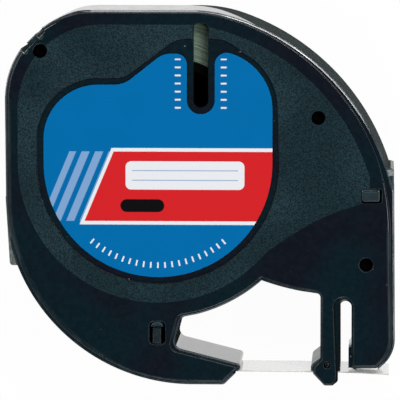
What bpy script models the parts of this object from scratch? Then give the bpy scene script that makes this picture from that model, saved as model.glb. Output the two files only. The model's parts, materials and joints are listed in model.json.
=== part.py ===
"""Label tape cassette: two snapped case halves around a tape roll and its guides.

Lengths are in metres. The case frame has its origin on the spool axis at the back
face, X to the right and Y up when the printed face is seen, Z out of that face.
Every piece hangs from one empty that carries the case frame, so that the finished
assembly stands centred over the world origin.
"""
import math

import bmesh
import bpy
from mathutils import Vector

# Tape and roll
TAPE_WIDTH = 0.0120
FILM_THICKNESS = 0.000098
LINER_THICKNESS = 0.000080
TAPE_LENGTH = 4.0
CORE_RADIUS = 0.0166
ROLL_CLEARANCE = 0.00035
TAPE_GAP = 0.00012

# Case depth, back to front
FLOOR_THICKNESS = 0.0014
TAPE_SIDE_GAP = 0.0008
COVER_PLATE = 0.0016
COVER_DEPTH = 0.0044
SEAM_GAP = 0.0001
REAR_STEP = 0.0003
FRONT_ROUNDING = 0.00035
REAR_ROUNDING = 0.0006

# Case outline
RIGHT_SPAN = 0.01367
LEFT_WALL = 0.00095
TOP_WALL = 0.00065
SIDE_WALL = 0.0011
BAY_WALL = 0.00135
TOP_CORNER_RADIUS = 0.01287
LOWER_ARC_RADIUS = 0.02884
LOWER_ARC_DROP = 0.00535
UPPER_ARC_RADIUS = 0.03573
UPPER_ARC_CROWN = 0.00077
UPPER_BLEND_RADIUS = 0.020
REAR_ARC_GROWTH = 0.00067
REAR_ARC_DROP = 0.00059
LEFT_EAR_LENGTH = 0.01095
LEFT_EAR_TAPER = 0.0007
RIGHT_EAR_LENGTH = 0.0105
EAR_ROOT = 0.0055

# Bay, tongue, arm and leg
BAY_CUSP_ANGLE = -48.1
BAY_UNDERSIDE_DROP = 0.0022
BAY_UNDERSIDE_BOW = 0.0003
TONGUE_REACH = 0.01143
TONGUE_ANGLE = -14.2
TONGUE_END_HEIGHT = 0.00303
TONGUE_END_BACK = 0.0030
BAY_LEFT = 0.0020
LEG_WIDTH = 0.00643
LEG_CLEARANCE = 0.00241
LEG_CORNER_RADIUS = 0.0051
LEG_CORNER_SWEEP = 52.0
CUTTER_SLOT_WIDTH = 0.00248
CUTTER_SLOT_DROP = 0.00209
ARM_WIDTH = 0.00234
NOSE_REACH = 0.00115
NOSE_SHOULDER = 0.0013
NOSE_RISE = 0.00123
NOSE_SIDE = 0.00124
NOSE_DROP = 0.0003
NOSE_FLARE = 0.00035
NOSE_CORNER = 0.0017
CORNER_SMALL = 0.00045
CORNER_MEDIUM = 0.0009
POCKET_OUTER_ANGLE = 58.0
POCKET_INNER_ANGLES = (46.0, -34.0)
POCKET_FOOT_ANGLE = -75.0
LEG_PAD_REACH = 0.00045
LEG_PAD_HEIGHT = 0.0030
LEG_PAD_SLOPE = 3.0
FLANGE_THICKNESS = 0.0019

# Rollers
ROLLER_RADIUS = 0.00115
ROLLER_PIN_RADIUS = 0.00042
ROLLER_FIT = 0.00008
ROLLER_END_GAP = 0.0003
ROLLER_ROOM = 0.00015
ROOT_INSET = 0.0020
ROOT_HEIGHT = 0.00389
ARM_PIN_INSET = 0.00109
ARM_PIN_HEIGHT = 0.00288
PIN_SOCKET = 0.0008
PIN_RECESS = 0.0002

# Tape channel
CHANNEL_CLEARANCE = 0.00042
MOUTH_GUIDE_RADIUS = 0.0006
MOUTH_INSET = 0.0014
MOUTH_HEIGHT = 0.00161
PASSAGE_START_ANGLE = 165.0
FREE_END_INSET = 0.0006

# Spool bearing
POST_RADIUS = 0.0050
POST_WALL = 0.0014
POST_FIT = 0.00010
POST_BORE_STOP = 0.0016
SHOULDER_WIDTH = 0.0016
SHOULDER_GAP = 0.0002
HUB_WALL = 0.0018
HUB_HEIGHT = 0.0085
CORE_RIM = 0.0014
CORE_WEB = 0.0012
CORE_HOLE_COUNT = 6
CORE_HOLE_RADIUS = 0.0028
CORE_TAPE_GAP = 0.00005
WASHER_THICKNESS = 0.0006
SPRING_THICKNESS = 0.0002
SPRING_RISE = 0.0006
SPRING_WAVES = 3
STACK_GAP = 0.00015

# Tape brake
BRAKE_START = 0.0046
BRAKE_LEAF_LENGTH = 0.0056
BRAKE_LEAF_THICKNESS = 0.00015
BRAKE_PAD_LENGTH = 0.0022
BRAKE_PAD_THICKNESS = 0.0005
BRAKE_SIDE_GAP = 0.0010
BRAKE_GRIP = 0.0010
BRAKE_JAW = 0.00045
BRAKE_FIT = 0.00008

# Cover details
LABEL_RADIUS = 0.0176
LABEL_THICKNESS = 0.00015
LABEL_GLUE_GAP = 0.00002
LABEL_LOBE_RADIUS = 0.0091
LABEL_LOBE_RISE = 0.00806
LABEL_LOBE_SWEEP = 75.0
LABEL_LEFT_RADIUS = 0.0085
LABEL_LEFT_RISE = 0.00364
LABEL_TOP = 0.01728
LABEL_NOTCH_RADIUS = 0.00215
LABEL_VALLEY_X = -0.0053
LABEL_CREST_X = 0.00057
RECESS_DEPTH = 0.00035
RECESS_MARGIN = 0.00105
RECESS_TOP = 0.0193
RECESS_LOBE_SWEEP = 60.0
WINDOW_X = 0.00664
WINDOW_HALF_WIDTH = 0.00124
WINDOW_INNER = 0.00976
PIN_HOLE_RADIUS = 0.00108
PIN_HOLE_FIT = 0.0001
PIN_HOLE_DEPTH = 0.0013
PIN_POST_WALL = 0.0007
CORNER_PIN_INSET = 0.00554
CORNER_PIN_DROP = 0.00605
UPPER_PIN_ANGLE = 16.04
UPPER_PIN_GAP = 0.00304
LEG_PIN_INSET = 0.00419
LEG_PIN_RISE = 0.00449
SNAP_FIT = 0.0002
SNAP_DEPTH = 0.0004
SIDE_SNAP_INSET = 0.00348
SIDE_SNAP_RISE = 0.00665
SIDE_SNAP_LENGTH = 0.0026
SIDE_SNAP_THICKNESS = 0.0017
LOWER_SNAP_INSET = 0.00215
LOWER_SNAP_PLACE = 0.612
LOWER_SNAP_SHARE = 0.435
LOWER_SNAP_THICKNESS = 0.00138
LOWER_SNAP_ROOM = 0.00055
CORNER_SNAP_LENGTH = 0.0046
CORNER_SNAP_DEPTH = 0.0007
CORNER_SNAP_INSET = 0.0012

# Drawing
ARC_TOLERANCE = 0.00002
ARC_STEP_LIMIT = 15.0
CORNER_SHARE = 0.45
ROUNDING_TURNS = (90.0, 45.0, 0.0)
SMOOTH_ANGLE = 30.0
MERGE_DISTANCE = 1e-7
OVERRUN = 0.0010


def polar(radius, degrees):
    """Point at a radius and an angle about the spool axis."""
    return Vector((math.cos(math.radians(degrees)), math.sin(math.radians(degrees)))) * radius


# Worked out from the sizes above
TAPE_THICKNESS = FILM_THICKNESS + LINER_THICKNESS
ROLL_RADIUS = math.sqrt(CORE_RADIUS ** 2 + TAPE_LENGTH * TAPE_THICKNESS / math.pi)
CHAMBER_RADIUS = ROLL_RADIUS + ROLL_CLEARANCE
BAY_RADIUS = CHAMBER_RADIUS + BAY_WALL
CASE_DEPTH = FLOOR_THICKNESS + TAPE_WIDTH + 2 * TAPE_SIDE_GAP + COVER_PLATE
CEILING = CASE_DEPTH - COVER_PLATE
SEAM = CASE_DEPTH - COVER_DEPTH
SHELL_TOP = SEAM - SEAM_GAP / 2
COVER_BASE = SEAM + SEAM_GAP / 2
TAPE_BACK = FLOOR_THICKNESS + TAPE_SIDE_GAP
TAPE_FRONT = TAPE_BACK + TAPE_WIDTH
LEFT = -(CHAMBER_RADIUS + LEFT_WALL)
RIGHT = CHAMBER_RADIUS + RIGHT_SPAN
TOP = CHAMBER_RADIUS + TOP_WALL
LOWER_ARC_CENTRE = Vector((LEFT + LOWER_ARC_RADIUS, -LOWER_ARC_DROP))
UPPER_ARC_CENTRE = Vector((RIGHT - UPPER_ARC_RADIUS, TOP + UPPER_ARC_CROWN - UPPER_ARC_RADIUS))
BOTTOM = LOWER_ARC_CENTRE.y - LOWER_ARC_RADIUS
LEG_LEFT = RIGHT - LEG_WIDTH
LEG_BOTTOM = BOTTOM + LEG_CLEARANCE
ARM_RIGHT = LEG_LEFT - CUTTER_SLOT_WIDTH
ARM_LEFT = ARM_RIGHT - ARM_WIDTH
ARM_PIN = Vector((ARM_LEFT + ARM_PIN_INSET, BOTTOM + ARM_PIN_HEIGHT))
ROOT_PIN = Vector((BAY_LEFT - ROOT_INSET, BOTTOM + ROOT_HEIGHT))
TONGUE_END = Vector((BAY_LEFT + TONGUE_REACH, BOTTOM + TONGUE_END_HEIGHT))
MOUTH_GUIDE = Vector((TONGUE_END.x - MOUTH_INSET, BOTTOM + MOUTH_HEIGHT + TAPE_THICKNESS / 2
                      + TAPE_GAP + MOUTH_GUIDE_RADIUS))
CUSP = polar(BAY_RADIUS, BAY_CUSP_ANGLE)
UNDERSIDE_END = Vector((ARM_LEFT, CUSP.y - BAY_UNDERSIDE_DROP))
TONGUE_WAY = polar(1.0, TONGUE_ANGLE)
BAY_WALL_WAY = Vector((-TONGUE_WAY.y, TONGUE_WAY.x))
BAY_CORNER = TONGUE_END - TONGUE_WAY * (TONGUE_REACH / TONGUE_WAY.x)
SLOT_CENTRE = Vector((ARM_RIGHT + CUTTER_SLOT_WIDTH / 2, UNDERSIDE_END.y - CUTTER_SLOT_DROP))
HUB_BASE = TAPE_BACK
HUB_TOP = HUB_BASE + HUB_HEIGHT
HUB_BORE = POST_RADIUS + POST_FIT
HUB_RADIUS = HUB_BORE + HUB_WALL
SHOULDER_TOP = HUB_BASE - SHOULDER_GAP
WASHER_BASE = HUB_TOP + STACK_GAP
SPRING_BASE = WASHER_BASE + WASHER_THICKNESS + STACK_GAP
BOSS_BASE = SPRING_BASE + SPRING_THICKNESS + SPRING_RISE + STACK_GAP
PIN_TOP = CASE_DEPTH - PIN_HOLE_DEPTH
CORNER_PIN = Vector((LEFT + CORNER_PIN_INSET, TOP - CORNER_PIN_DROP))
UPPER_PIN = polar(CHAMBER_RADIUS + UPPER_PIN_GAP, UPPER_PIN_ANGLE)
LEG_PIN = Vector((RIGHT - LEG_PIN_INSET, UNDERSIDE_END.y + LEG_PIN_RISE))
SIDE_SNAP_CENTRE = Vector((RIGHT - SIDE_SNAP_INSET, UPPER_ARC_CENTRE.y + SIDE_SNAP_RISE))
SIDE_SNAP_HALF = Vector((SIDE_SNAP_LENGTH / 2, SIDE_SNAP_THICKNESS / 2))
LOWER_SNAP_SPACE = -CHAMBER_RADIUS - (ROOT_PIN.y + ROLLER_RADIUS)
LOWER_SNAP_CENTRE = Vector((BAY_LEFT - LOWER_SNAP_INSET,
                            -CHAMBER_RADIUS - LOWER_SNAP_PLACE * LOWER_SNAP_SPACE))
LOWER_SNAP_HALF = Vector((LOWER_SNAP_THICKNESS / 2, LOWER_SNAP_SHARE * LOWER_SNAP_SPACE / 2))
LABEL_FLOOR = CASE_DEPTH - RECESS_DEPTH
FLOOR_ROOT = FLOOR_THICKNESS / 2
PLATE_ROOT = CEILING + COVER_PLATE / 4
PIN_RADIUS = PIN_HOLE_RADIUS - PIN_HOLE_FIT


def arc_points(centre, radius, start, end):
    """Points along an arc, both ends included, for angles in degrees."""
    step = math.degrees(2 * math.acos(max(-1.0, 1 - ARC_TOLERANCE / radius)))
    count = max(2, math.ceil(abs(end - start) / min(step, ARC_STEP_LIMIT)))
    angles = [math.radians(start + (end - start) * i / count) for i in range(count + 1)]
    return [Vector((centre[0] + radius * math.cos(a), centre[1] + radius * math.sin(a))) for a in angles]


def circle(centre, radius):
    """A closed circle as an outline."""
    return arc_points(centre, radius, 0.0, 360.0)[:-1]


def heading(first, second):
    """Unit vector from one point to another."""
    return (second - first).normalized()


def rounded(corners):
    """Outline with its corners rounded; each corner is a point and a radius, 0 for a plain point."""
    outline = []
    count = len(corners)
    for index, (point, radius) in enumerate(corners):
        if radius == 0:
            outline.append(Vector(point))
            continue
        before = Vector(corners[index - 1][0])
        after = Vector(corners[(index + 1) % count][0])
        point = Vector(point)
        inward = heading(point, before)
        outward = heading(point, after)
        half = math.acos(max(-1.0, min(1.0, inward.dot(outward)))) / 2
        room = CORNER_SHARE * min((before - point).length, (after - point).length)
        reach = min(radius / math.tan(half), room)
        size = reach * math.tan(half)
        centre = point + (inward + outward).normalized() * (size / math.sin(half))
        start = math.degrees(math.atan2(*(reversed(point + inward * reach - centre))))
        end = math.degrees(math.atan2(*(reversed(point + outward * reach - centre))))
        turn = (end - start + 180) % 360 - 180
        outline.extend(arc_points(centre, size, start, start + turn))
    return outline


def plain(points):
    """Mark points as corners that keep their place."""
    return [(point, 0) for point in points]


def grown(outline, distance):
    """Outline moved outward by a distance, for points listed anticlockwise."""
    moved = []
    count = len(outline)
    for index, point in enumerate(outline):
        ahead = heading(point, outline[(index + 1) % count])
        behind = heading(outline[index - 1], point)
        first = Vector((behind.y, -behind.x))
        second = Vector((ahead.y, -ahead.x))
        moved.append(point + (first + second) * (distance / (1 + first.dot(second))))
    return moved


def bowed(start, end, bow):
    """Points from start to end along an arc that bulges to the right of the way."""
    chord = (end - start).length
    radius = chord ** 2 / (8 * bow) + bow / 2
    way = heading(start, end)
    left = Vector((-way.y, way.x))
    centre = (start + end) / 2 + left * (radius - bow)
    half = math.degrees(math.asin(chord / 2 / radius))
    middle = math.degrees(math.atan2(-left.y, -left.x))
    return arc_points(centre, radius, middle - half, middle + half)


def line_crossing(point, way, other, other_way):
    """Where two straight lines meet."""
    gap = other - point
    share = (gap.x * other_way.y - gap.y * other_way.x) / (way.x * other_way.y - way.y * other_way.x)
    return point + way * share


def circle_on_line(point, way, radius):
    """First place where a line from a point meets a circle about the spool axis."""
    along = point.dot(way)
    return point + way * (-along - math.sqrt(along ** 2 - point.length_squared + radius ** 2))


def arm_corners():
    """The arm with its nose, from the bay side round to the cutter slot."""
    left = ARM_LEFT - NOSE_REACH
    right = ARM_RIGHT + NOSE_FLARE
    shoulder = ARM_PIN.y + NOSE_SHOULDER
    low = BOTTOM - NOSE_DROP
    return [
        (UNDERSIDE_END, CORNER_MEDIUM),
        ((ARM_LEFT, shoulder), CORNER_SMALL),
        ((left, shoulder - NOSE_RISE), CORNER_SMALL),
        ((left, shoulder - NOSE_RISE - NOSE_SIDE), CORNER_SMALL),
        ((left + NOSE_CORNER, low), NOSE_CORNER / 2),
        ((right - NOSE_CORNER / 2, low), CORNER_SMALL),
        ((right, low + NOSE_CORNER / 2), CORNER_SMALL),
    ]


def leg_corners():
    """The leg from the cutter slot round to the right side."""
    rise = LEG_CORNER_RADIUS * math.sin(math.radians(LEG_CORNER_SWEEP))
    centre = (RIGHT - LEG_CORNER_RADIUS, LEG_BOTTOM + rise + CORNER_SMALL)
    corner = arc_points(centre, LEG_CORNER_RADIUS, -LEG_CORNER_SWEEP, 0.0)
    foot = Vector((corner[0].x - CORNER_SMALL, LEG_BOTTOM))
    return [((LEG_LEFT, LEG_BOTTOM), CORNER_SMALL), (foot, 0)] + plain(corner)


def upper_arcs(centre, radius):
    """The big upper right arc, and the softer arc that leads it into the flat top."""
    blend = UPPER_BLEND_RADIUS
    start = math.degrees(math.acos(min(1.0, (RIGHT - centre.x) / radius)))
    rise = TOP - blend - centre.y
    run = math.sqrt((radius - blend) ** 2 - rise ** 2)
    meeting = math.degrees(math.atan2(rise, run))
    blend_centre = (centre.x + run, TOP - blend)
    main = arc_points(centre, radius, start, meeting)
    return main + arc_points(blend_centre, blend, meeting, 90.0)[1:]


def case_outline(upper_centre=UPPER_ARC_CENTRE, upper_radius=UPPER_ARC_RADIUS):
    """Outline of the front cover, anticlockwise from the top of the left side."""
    bay_top = circle_on_line(BAY_CORNER, BAY_WALL_WAY, BAY_RADIUS)
    bay_angle = math.degrees(math.atan2(bay_top.y, bay_top.x))
    chamber = arc_points((0, 0), BAY_RADIUS, bay_angle, BAY_CUSP_ANGLE)
    tongue_low = Vector((TONGUE_END.x - TONGUE_END_BACK, BOTTOM))
    corner_centre = (LEFT + TOP_CORNER_RADIUS, TOP - TOP_CORNER_RADIUS)
    corners = plain(arc_points(LOWER_ARC_CENTRE, LOWER_ARC_RADIUS, 180.0, 270.0))
    corners += [(tongue_low, CORNER_SMALL), (TONGUE_END, CORNER_SMALL), (BAY_CORNER, CORNER_MEDIUM)]
    corners += [(bay_top, CORNER_MEDIUM)] + plain(chamber[1:-1]) + [(CUSP, CORNER_SMALL)]
    corners += plain(bowed(CUSP, UNDERSIDE_END, BAY_UNDERSIDE_BOW)[1:-1])
    corners += arm_corners()
    corners += plain(arc_points(SLOT_CENTRE, CUTTER_SLOT_WIDTH / 2, 180.0, 0.0))
    corners += leg_corners()
    corners += plain(upper_arcs(upper_centre, upper_radius))
    corners += plain(arc_points(corner_centre, TOP_CORNER_RADIUS, 90.0, 180.0))
    return rounded(corners)


def rear_outline():
    """Outline of the rear shell: the case outline, a small step larger and fuller at the upper right."""
    centre = UPPER_ARC_CENTRE - Vector((0, REAR_ARC_DROP))
    return grown(case_outline(centre, UPPER_ARC_RADIUS + REAR_ARC_GROWTH), REAR_STEP)


def left_ear():
    """The ear that carries the left side of the rear shell straight down past its arc."""
    edge = LEFT - REAR_STEP
    inside = edge + EAR_ROOT
    high = LOWER_ARC_CENTRE.y
    low = high - LEFT_EAR_LENGTH
    foot = (edge + LEFT_EAR_TAPER, low)
    return rounded([((inside, high), 0), ((edge, high), 0), (foot, CORNER_SMALL), ((inside, low), 0)])


def right_ear():
    """The ear that carries the right side of the rear shell straight up past its arc."""
    edge = RIGHT + REAR_STEP
    inside = edge - EAR_ROOT
    low = UPPER_ARC_CENTRE.y
    high = low + RIGHT_EAR_LENGTH
    return rounded([((inside, low), 0), ((edge, low), 0), ((edge, high), CORNER_SMALL), ((inside, high), 0)])


def leg_pad():
    """The small block on the cutter side of the leg."""
    edge = LEG_LEFT - REAR_STEP - LEG_PAD_REACH
    inside = LEG_LEFT + LEG_PAD_REACH
    top = LEG_BOTTOM + LEG_PAD_HEIGHT
    return [Vector((edge, LEG_BOTTOM)), Vector((inside, LEG_BOTTOM)),
            Vector((inside, top + LEG_PAD_REACH * LEG_PAD_SLOPE)), Vector((edge, top))]


def tangent_run(first, first_radius, second, second_radius):
    """Ends of the straight tape run that keeps both guides on its left."""
    gap = second - first
    lean = math.acos((first_radius - second_radius) / gap.length)
    angle = math.atan2(gap.y, gap.x) - lean
    normal = Vector((math.cos(angle), math.sin(angle)))
    return first + normal * first_radius, second + normal * second_radius, math.degrees(angle)


def tape_guides():
    """Every guide the tape bends round, as a centre and the radius of the tape's middle."""
    lift = TAPE_GAP + TAPE_THICKNESS / 2
    return [
        (Vector((0, 0)), ROLL_RADIUS + lift),
        (ROOT_PIN, ROLLER_RADIUS + lift),
        (MOUTH_GUIDE, MOUTH_GUIDE_RADIUS + lift),
        (ARM_PIN, ROLLER_RADIUS + lift),
    ]


def tape_path():
    """Middle line of the tape from the roll to its free end."""
    guides = tape_guides()
    runs = []
    for (first, first_radius), (second, second_radius) in zip(guides, guides[1:]):
        runs.append(tangent_run(first, first_radius, second, second_radius))
    path = [runs[0][0]]
    for (centre, radius), before, after in zip(guides[1:], runs, runs[1:]):
        path.extend(arc_points(centre, radius, before[2], after[2]))
    last_end = runs[-1][1]
    way = heading(runs[-1][0], last_end)
    path.append(last_end)
    path.append(last_end + way * ((RIGHT - FREE_END_INSET - last_end.x) / way.x))
    return path


def channel_run():
    """Start, direction and upward normal of the straight tape run inside the tongue."""
    guides = tape_guides()
    start, end, _ = tangent_run(guides[1][0], guides[1][1], guides[2][0], guides[2][1])
    way = heading(start, end)
    return start, way, Vector((-way.y, way.x))


def on_run(along, height):
    """Point at a distance along the tongue's tape run and a height above the tape's middle."""
    start, way, normal = channel_run()
    return start + way * along + normal * height


def tape_passage():
    """Space the tape takes from the chamber to the mouth of the tongue."""
    inner = LOWER_ARC_RADIUS - LEFT_WALL
    wall_inset = BAY_WALL_WAY.orthogonal().normalized() * SIDE_WALL
    if wall_inset.x > 0:
        wall_inset = -wall_inset
    roof_inset = -BAY_WALL_WAY * SIDE_WALL
    inner_corner = line_crossing(BAY_CORNER + wall_inset, BAY_WALL_WAY, BAY_CORNER + roof_inset, TONGUE_WAY)
    wall_top = circle_on_line(inner_corner, BAY_WALL_WAY, CHAMBER_RADIUS - OVERRUN)
    start, way, _ = channel_run()
    mouth = (TONGUE_END.x - start.x) / way.x
    guide_side = MOUTH_GUIDE - Vector((MOUTH_GUIDE_RADIUS, 0))
    guide_left = line_crossing(inner_corner, TONGUE_WAY, guide_side, Vector((0, 1)))
    floor_y = on_run(0, -CHANNEL_CLEARANCE).y
    angle = 180 - math.degrees(math.asin(max(-1.0, (floor_y - LOWER_ARC_CENTRE.y) / inner)))
    wrap = arc_points(LOWER_ARC_CENTRE, inner, PASSAGE_START_ANGLE, angle)
    guide = arc_points(MOUTH_GUIDE, MOUTH_GUIDE_RADIUS, 270.0, 180.0)
    corners = plain(wrap)
    corners += [(on_run(BRAKE_START / 2, -CHANNEL_CLEARANCE), 0)]
    corners += [(on_run(mouth + OVERRUN, -CHANNEL_CLEARANCE), 0)]
    corners += [((TONGUE_END.x + OVERRUN, MOUTH_GUIDE.y - MOUTH_GUIDE_RADIUS), 0)]
    corners += plain(guide)
    corners += [(guide_left, 0), (inner_corner, CORNER_SMALL), (wall_top, 0)]
    return rounded(corners)


def side_pocket():
    """Hollow to the right of the chamber that runs down into the leg."""
    inner = UPPER_ARC_RADIUS - SIDE_WALL
    chamber = CHAMBER_RADIUS + SIDE_WALL
    leg_left = LEG_LEFT + SIDE_WALL
    ceiling = UNDERSIDE_END.y + SIDE_WALL + CORNER_SMALL
    corner_centre = (RIGHT - LEG_CORNER_RADIUS, LEG_BOTTOM + LEG_CORNER_RADIUS)
    inner_corner = LEG_CORNER_RADIUS - SIDE_WALL
    foot = LEG_BOTTOM + SIDE_WALL
    corners = [((leg_left, foot), CORNER_SMALL)]
    corners += plain(arc_points(corner_centre, inner_corner, POCKET_FOOT_ANGLE, 0.0))
    corners += plain(arc_points(UPPER_ARC_CENTRE, inner, 0.0, POCKET_OUTER_ANGLE))
    corners += plain(arc_points((0, 0), chamber, *POCKET_INNER_ANGLES))
    corners += [((UNDERSIDE_END.x - ARM_WIDTH, ceiling), CORNER_SMALL), ((leg_left, ceiling), 0)]
    return rounded(corners)


def label_outline():
    """Outline of the printed label, with the notch that leaves the window clear."""
    lobe = (LABEL_RADIUS - LABEL_LOBE_RADIUS, LABEL_LOBE_RISE)
    left = (LABEL_LEFT_RADIUS - LABEL_RADIUS, LABEL_LEFT_RISE)
    notch = LABEL_NOTCH_RADIUS
    corners = plain(arc_points((0, 0), LABEL_RADIUS, 180.0, 360.0))
    corners += plain(arc_points(lobe, LABEL_LOBE_RADIUS, 0.0, LABEL_LOBE_SWEEP))
    corners += [((WINDOW_X + notch, LABEL_TOP), notch)]
    corners += plain(arc_points((WINDOW_X, WINDOW_INNER), notch, 0.0, -180.0))
    corners += [((WINDOW_X - notch, LABEL_TOP), notch), ((LABEL_CREST_X, LABEL_TOP), notch)]
    corners += [((LABEL_VALLEY_X, left[1] + LABEL_LEFT_RADIUS), 2 * notch)]
    corners += plain(arc_points(left, LABEL_LEFT_RADIUS, 90.0, 180.0))
    return rounded(corners)


def recess_outline():
    """Outline of the label's recess: the label with a margin, and the notch closed over."""
    lobe = (LABEL_RADIUS - LABEL_LOBE_RADIUS, LABEL_LOBE_RISE)
    left = (LABEL_LEFT_RADIUS - LABEL_RADIUS, LABEL_LEFT_RISE)
    margin = RECESS_MARGIN
    valley = left[1] + LABEL_LEFT_RADIUS + margin
    corners = plain(arc_points((0, 0), LABEL_RADIUS + margin, 180.0, 360.0))
    corners += plain(arc_points(lobe, LABEL_LOBE_RADIUS + margin, 0.0, RECESS_LOBE_SWEEP))
    corners += [((lobe[0] + LABEL_NOTCH_RADIUS / 2, RECESS_TOP), LABEL_NOTCH_RADIUS)]
    corners += [((LABEL_CREST_X + 2 * margin, RECESS_TOP), 4 * margin)]
    corners += [((LABEL_VALLEY_X, valley), 2 * LABEL_NOTCH_RADIUS)]
    corners += plain(arc_points(left, LABEL_LEFT_RADIUS + margin, 90.0, 180.0))
    return rounded(corners)


def window_outline():
    """The slot over the roll: square at the rim and round at the inner end."""
    edge = math.sqrt(CHAMBER_RADIUS ** 2 - WINDOW_X ** 2) + ROLL_CLEARANCE / 2
    half = WINDOW_HALF_WIDTH
    corners = plain(arc_points((WINDOW_X, WINDOW_INNER), half, 180.0, 360.0))
    corners += [((WINDOW_X + half, edge), CORNER_SMALL), ((WINDOW_X - half, edge), CORNER_SMALL)]
    return rounded(corners)


def box_outline(centre, half):
    """Upright rectangle about a centre."""
    across = Vector((half.x, 0))
    up = Vector((0, half.y))
    return [centre - across - up, centre + across - up, centre + across + up, centre - across + up]


def corner_box(depth, length):
    """Rectangle set square across the rounded top left corner of the case."""
    out = Vector((-1, 1)).normalized()
    along = Vector((1, 1)).normalized()
    centre = Vector((LEFT + TOP_CORNER_RADIUS, TOP - TOP_CORNER_RADIUS))
    inner = centre + out * (TOP_CORNER_RADIUS - depth)
    outer = centre + out * (TOP_CORNER_RADIUS + OVERRUN)
    half = along * length / 2
    return [inner - half, inner + half, outer + half, outer - half]


def clamp_outline():
    """The slotted post that grips the fixed end of the brake leaf."""
    leaf = leaf_height()
    slot = BRAKE_LEAF_THICKNESS / 2 + BRAKE_FIT
    low = leaf - slot - BRAKE_JAW
    high = leaf + slot + BRAKE_JAW
    root = BRAKE_START - BRAKE_JAW
    tip = BRAKE_START + BRAKE_GRIP
    lower_jaw = [on_run(root, low), on_run(tip, low), on_run(tip, leaf - slot)]
    slot_end = [on_run(BRAKE_START, leaf - slot), on_run(BRAKE_START, leaf + slot)]
    return lower_jaw + slot_end + [on_run(tip, leaf + slot), on_run(tip, high), on_run(root, high)]


def leaf_height():
    """Height of the brake leaf's middle above the tape's middle."""
    return TAPE_THICKNESS / 2 + TAPE_GAP + BRAKE_PAD_THICKNESS + BRAKE_FIT + BRAKE_LEAF_THICKNESS / 2


def new_object(name, mesh_builder, place, parent):
    """Make an object from a filled bmesh, with outward faces and smooth rounds."""
    mesh_builder.normal_update()
    bmesh.ops.recalc_face_normals(mesh_builder, faces=mesh_builder.faces)
    mesh = bpy.data.meshes.new(name)
    mesh_builder.to_mesh(mesh)
    mesh_builder.free()
    mesh.shade_smooth()
    mesh.set_sharp_from_angle(angle=math.radians(SMOOTH_ANGLE))
    thing = bpy.data.objects.new(name, mesh)
    thing.location = place
    thing.parent = parent
    bpy.context.scene.collection.objects.link(thing)
    return thing


def lofted(name, rings, parent, place=(0, 0, 0)):
    """Closed solid through rings of equal point count, each a pair of outline and height."""
    builder = bmesh.new()
    loops = []
    for outline, height in rings:
        loops.append([builder.verts.new((p[0], p[1], height)) for p in outline])
    count = len(loops[0])
    for low, high in zip(loops, loops[1:]):
        for index in range(count):
            after = (index + 1) % count
            builder.faces.new((low[index], low[after], high[after], high[index]))
    builder.faces.new(list(reversed(loops[0])))
    builder.faces.new(loops[-1])
    return new_object(name, builder, place, parent)


def prism(name, outline, base, top, parent, place=(0, 0, 0)):
    """Straight solid between two heights."""
    return lofted(name, [(outline, base), (outline, top)], parent, place)


def turned(name, profile, parent, place=(0, 0, 0)):
    """Solid of revolution about its own Z axis from a closed profile of radius and height."""
    builder = bmesh.new()
    verts = [builder.verts.new((radius, 0, height)) for radius, height in profile]
    edges = [builder.edges.new((a, b)) for a, b in zip(verts, verts[1:] + verts[:1])]
    widest = max(radius for radius, _ in profile)
    steps = len(circle((0, 0), widest))
    bmesh.ops.spin(builder, geom=verts + edges, axis=(0, 0, 1), cent=(0, 0, 0), angle=2 * math.pi,
                   steps=steps, use_merge=True)
    bmesh.ops.remove_doubles(builder, verts=builder.verts, dist=MERGE_DISTANCE)
    return new_object(name, builder, place, parent)


def strip(name, path, low, high, parent):
    """Thin strip along a path, between two heights beside it, across the tape's width."""
    builder = bmesh.new()
    count = len(path)
    loops = []
    for index, point in enumerate(path):
        before = path[max(index - 1, 0)]
        after = path[min(index + 1, count - 1)]
        way = heading(before, after)
        left = Vector((-way.y, way.x))
        inner = point + left * high
        outer = point + left * low
        loops.append([builder.verts.new((p.x, p.y, z)) for p, z in
                      ((outer, TAPE_BACK), (inner, TAPE_BACK), (inner, TAPE_FRONT), (outer, TAPE_FRONT))])
    for first, second in zip(loops, loops[1:]):
        for index in range(4):
            after = (index + 1) % 4
            builder.faces.new((first[index], first[after], second[after], second[index]))
    builder.faces.new(list(reversed(loops[0])))
    builder.faces.new(loops[-1])
    return new_object(name, builder, (0, 0, 0), parent)


def combine(target, operation, tools):
    """Add one exact boolean for each tool and keep the tools as wire guides."""
    for tool in tools:
        step = target.modifiers.new(tool.name, 'BOOLEAN')
        step.operation = operation
        step.solver = 'EXACT'
        step.object = tool
        tool.hide_render = True
        tool.display_type = 'WIRE'


def finish(thing, colour, roughness, metallic=0.0):
    """Give a piece its own plain material."""
    material = bpy.data.materials.new(thing.name)
    material.use_nodes = True
    shader = material.node_tree.nodes['Principled BSDF']
    shader.inputs['Base Color'].default_value = (*colour, 1.0)
    shader.inputs['Roughness'].default_value = roughness
    shader.inputs['Metallic'].default_value = metallic
    thing.data.materials.append(material)


def edge_rings(outline, base, top, base_rounding, top_rounding):
    """Rings of a block whose lower and upper rims are rounded over."""
    rings = []
    if base_rounding:
        for turn in ROUNDING_TURNS:
            inset = base_rounding * (1 - math.cos(math.radians(turn)))
            rise = base_rounding * (1 - math.sin(math.radians(turn)))
            rings.append((grown(outline, -inset), base + rise))
    else:
        rings.append((outline, base))
    if top_rounding:
        for turn in reversed(ROUNDING_TURNS):
            inset = top_rounding * (1 - math.cos(math.radians(turn)))
            drop = top_rounding * (1 - math.sin(math.radians(turn)))
            rings.append((grown(outline, -inset), top - drop))
    else:
        rings.append((outline, top))
    return rings


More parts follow.
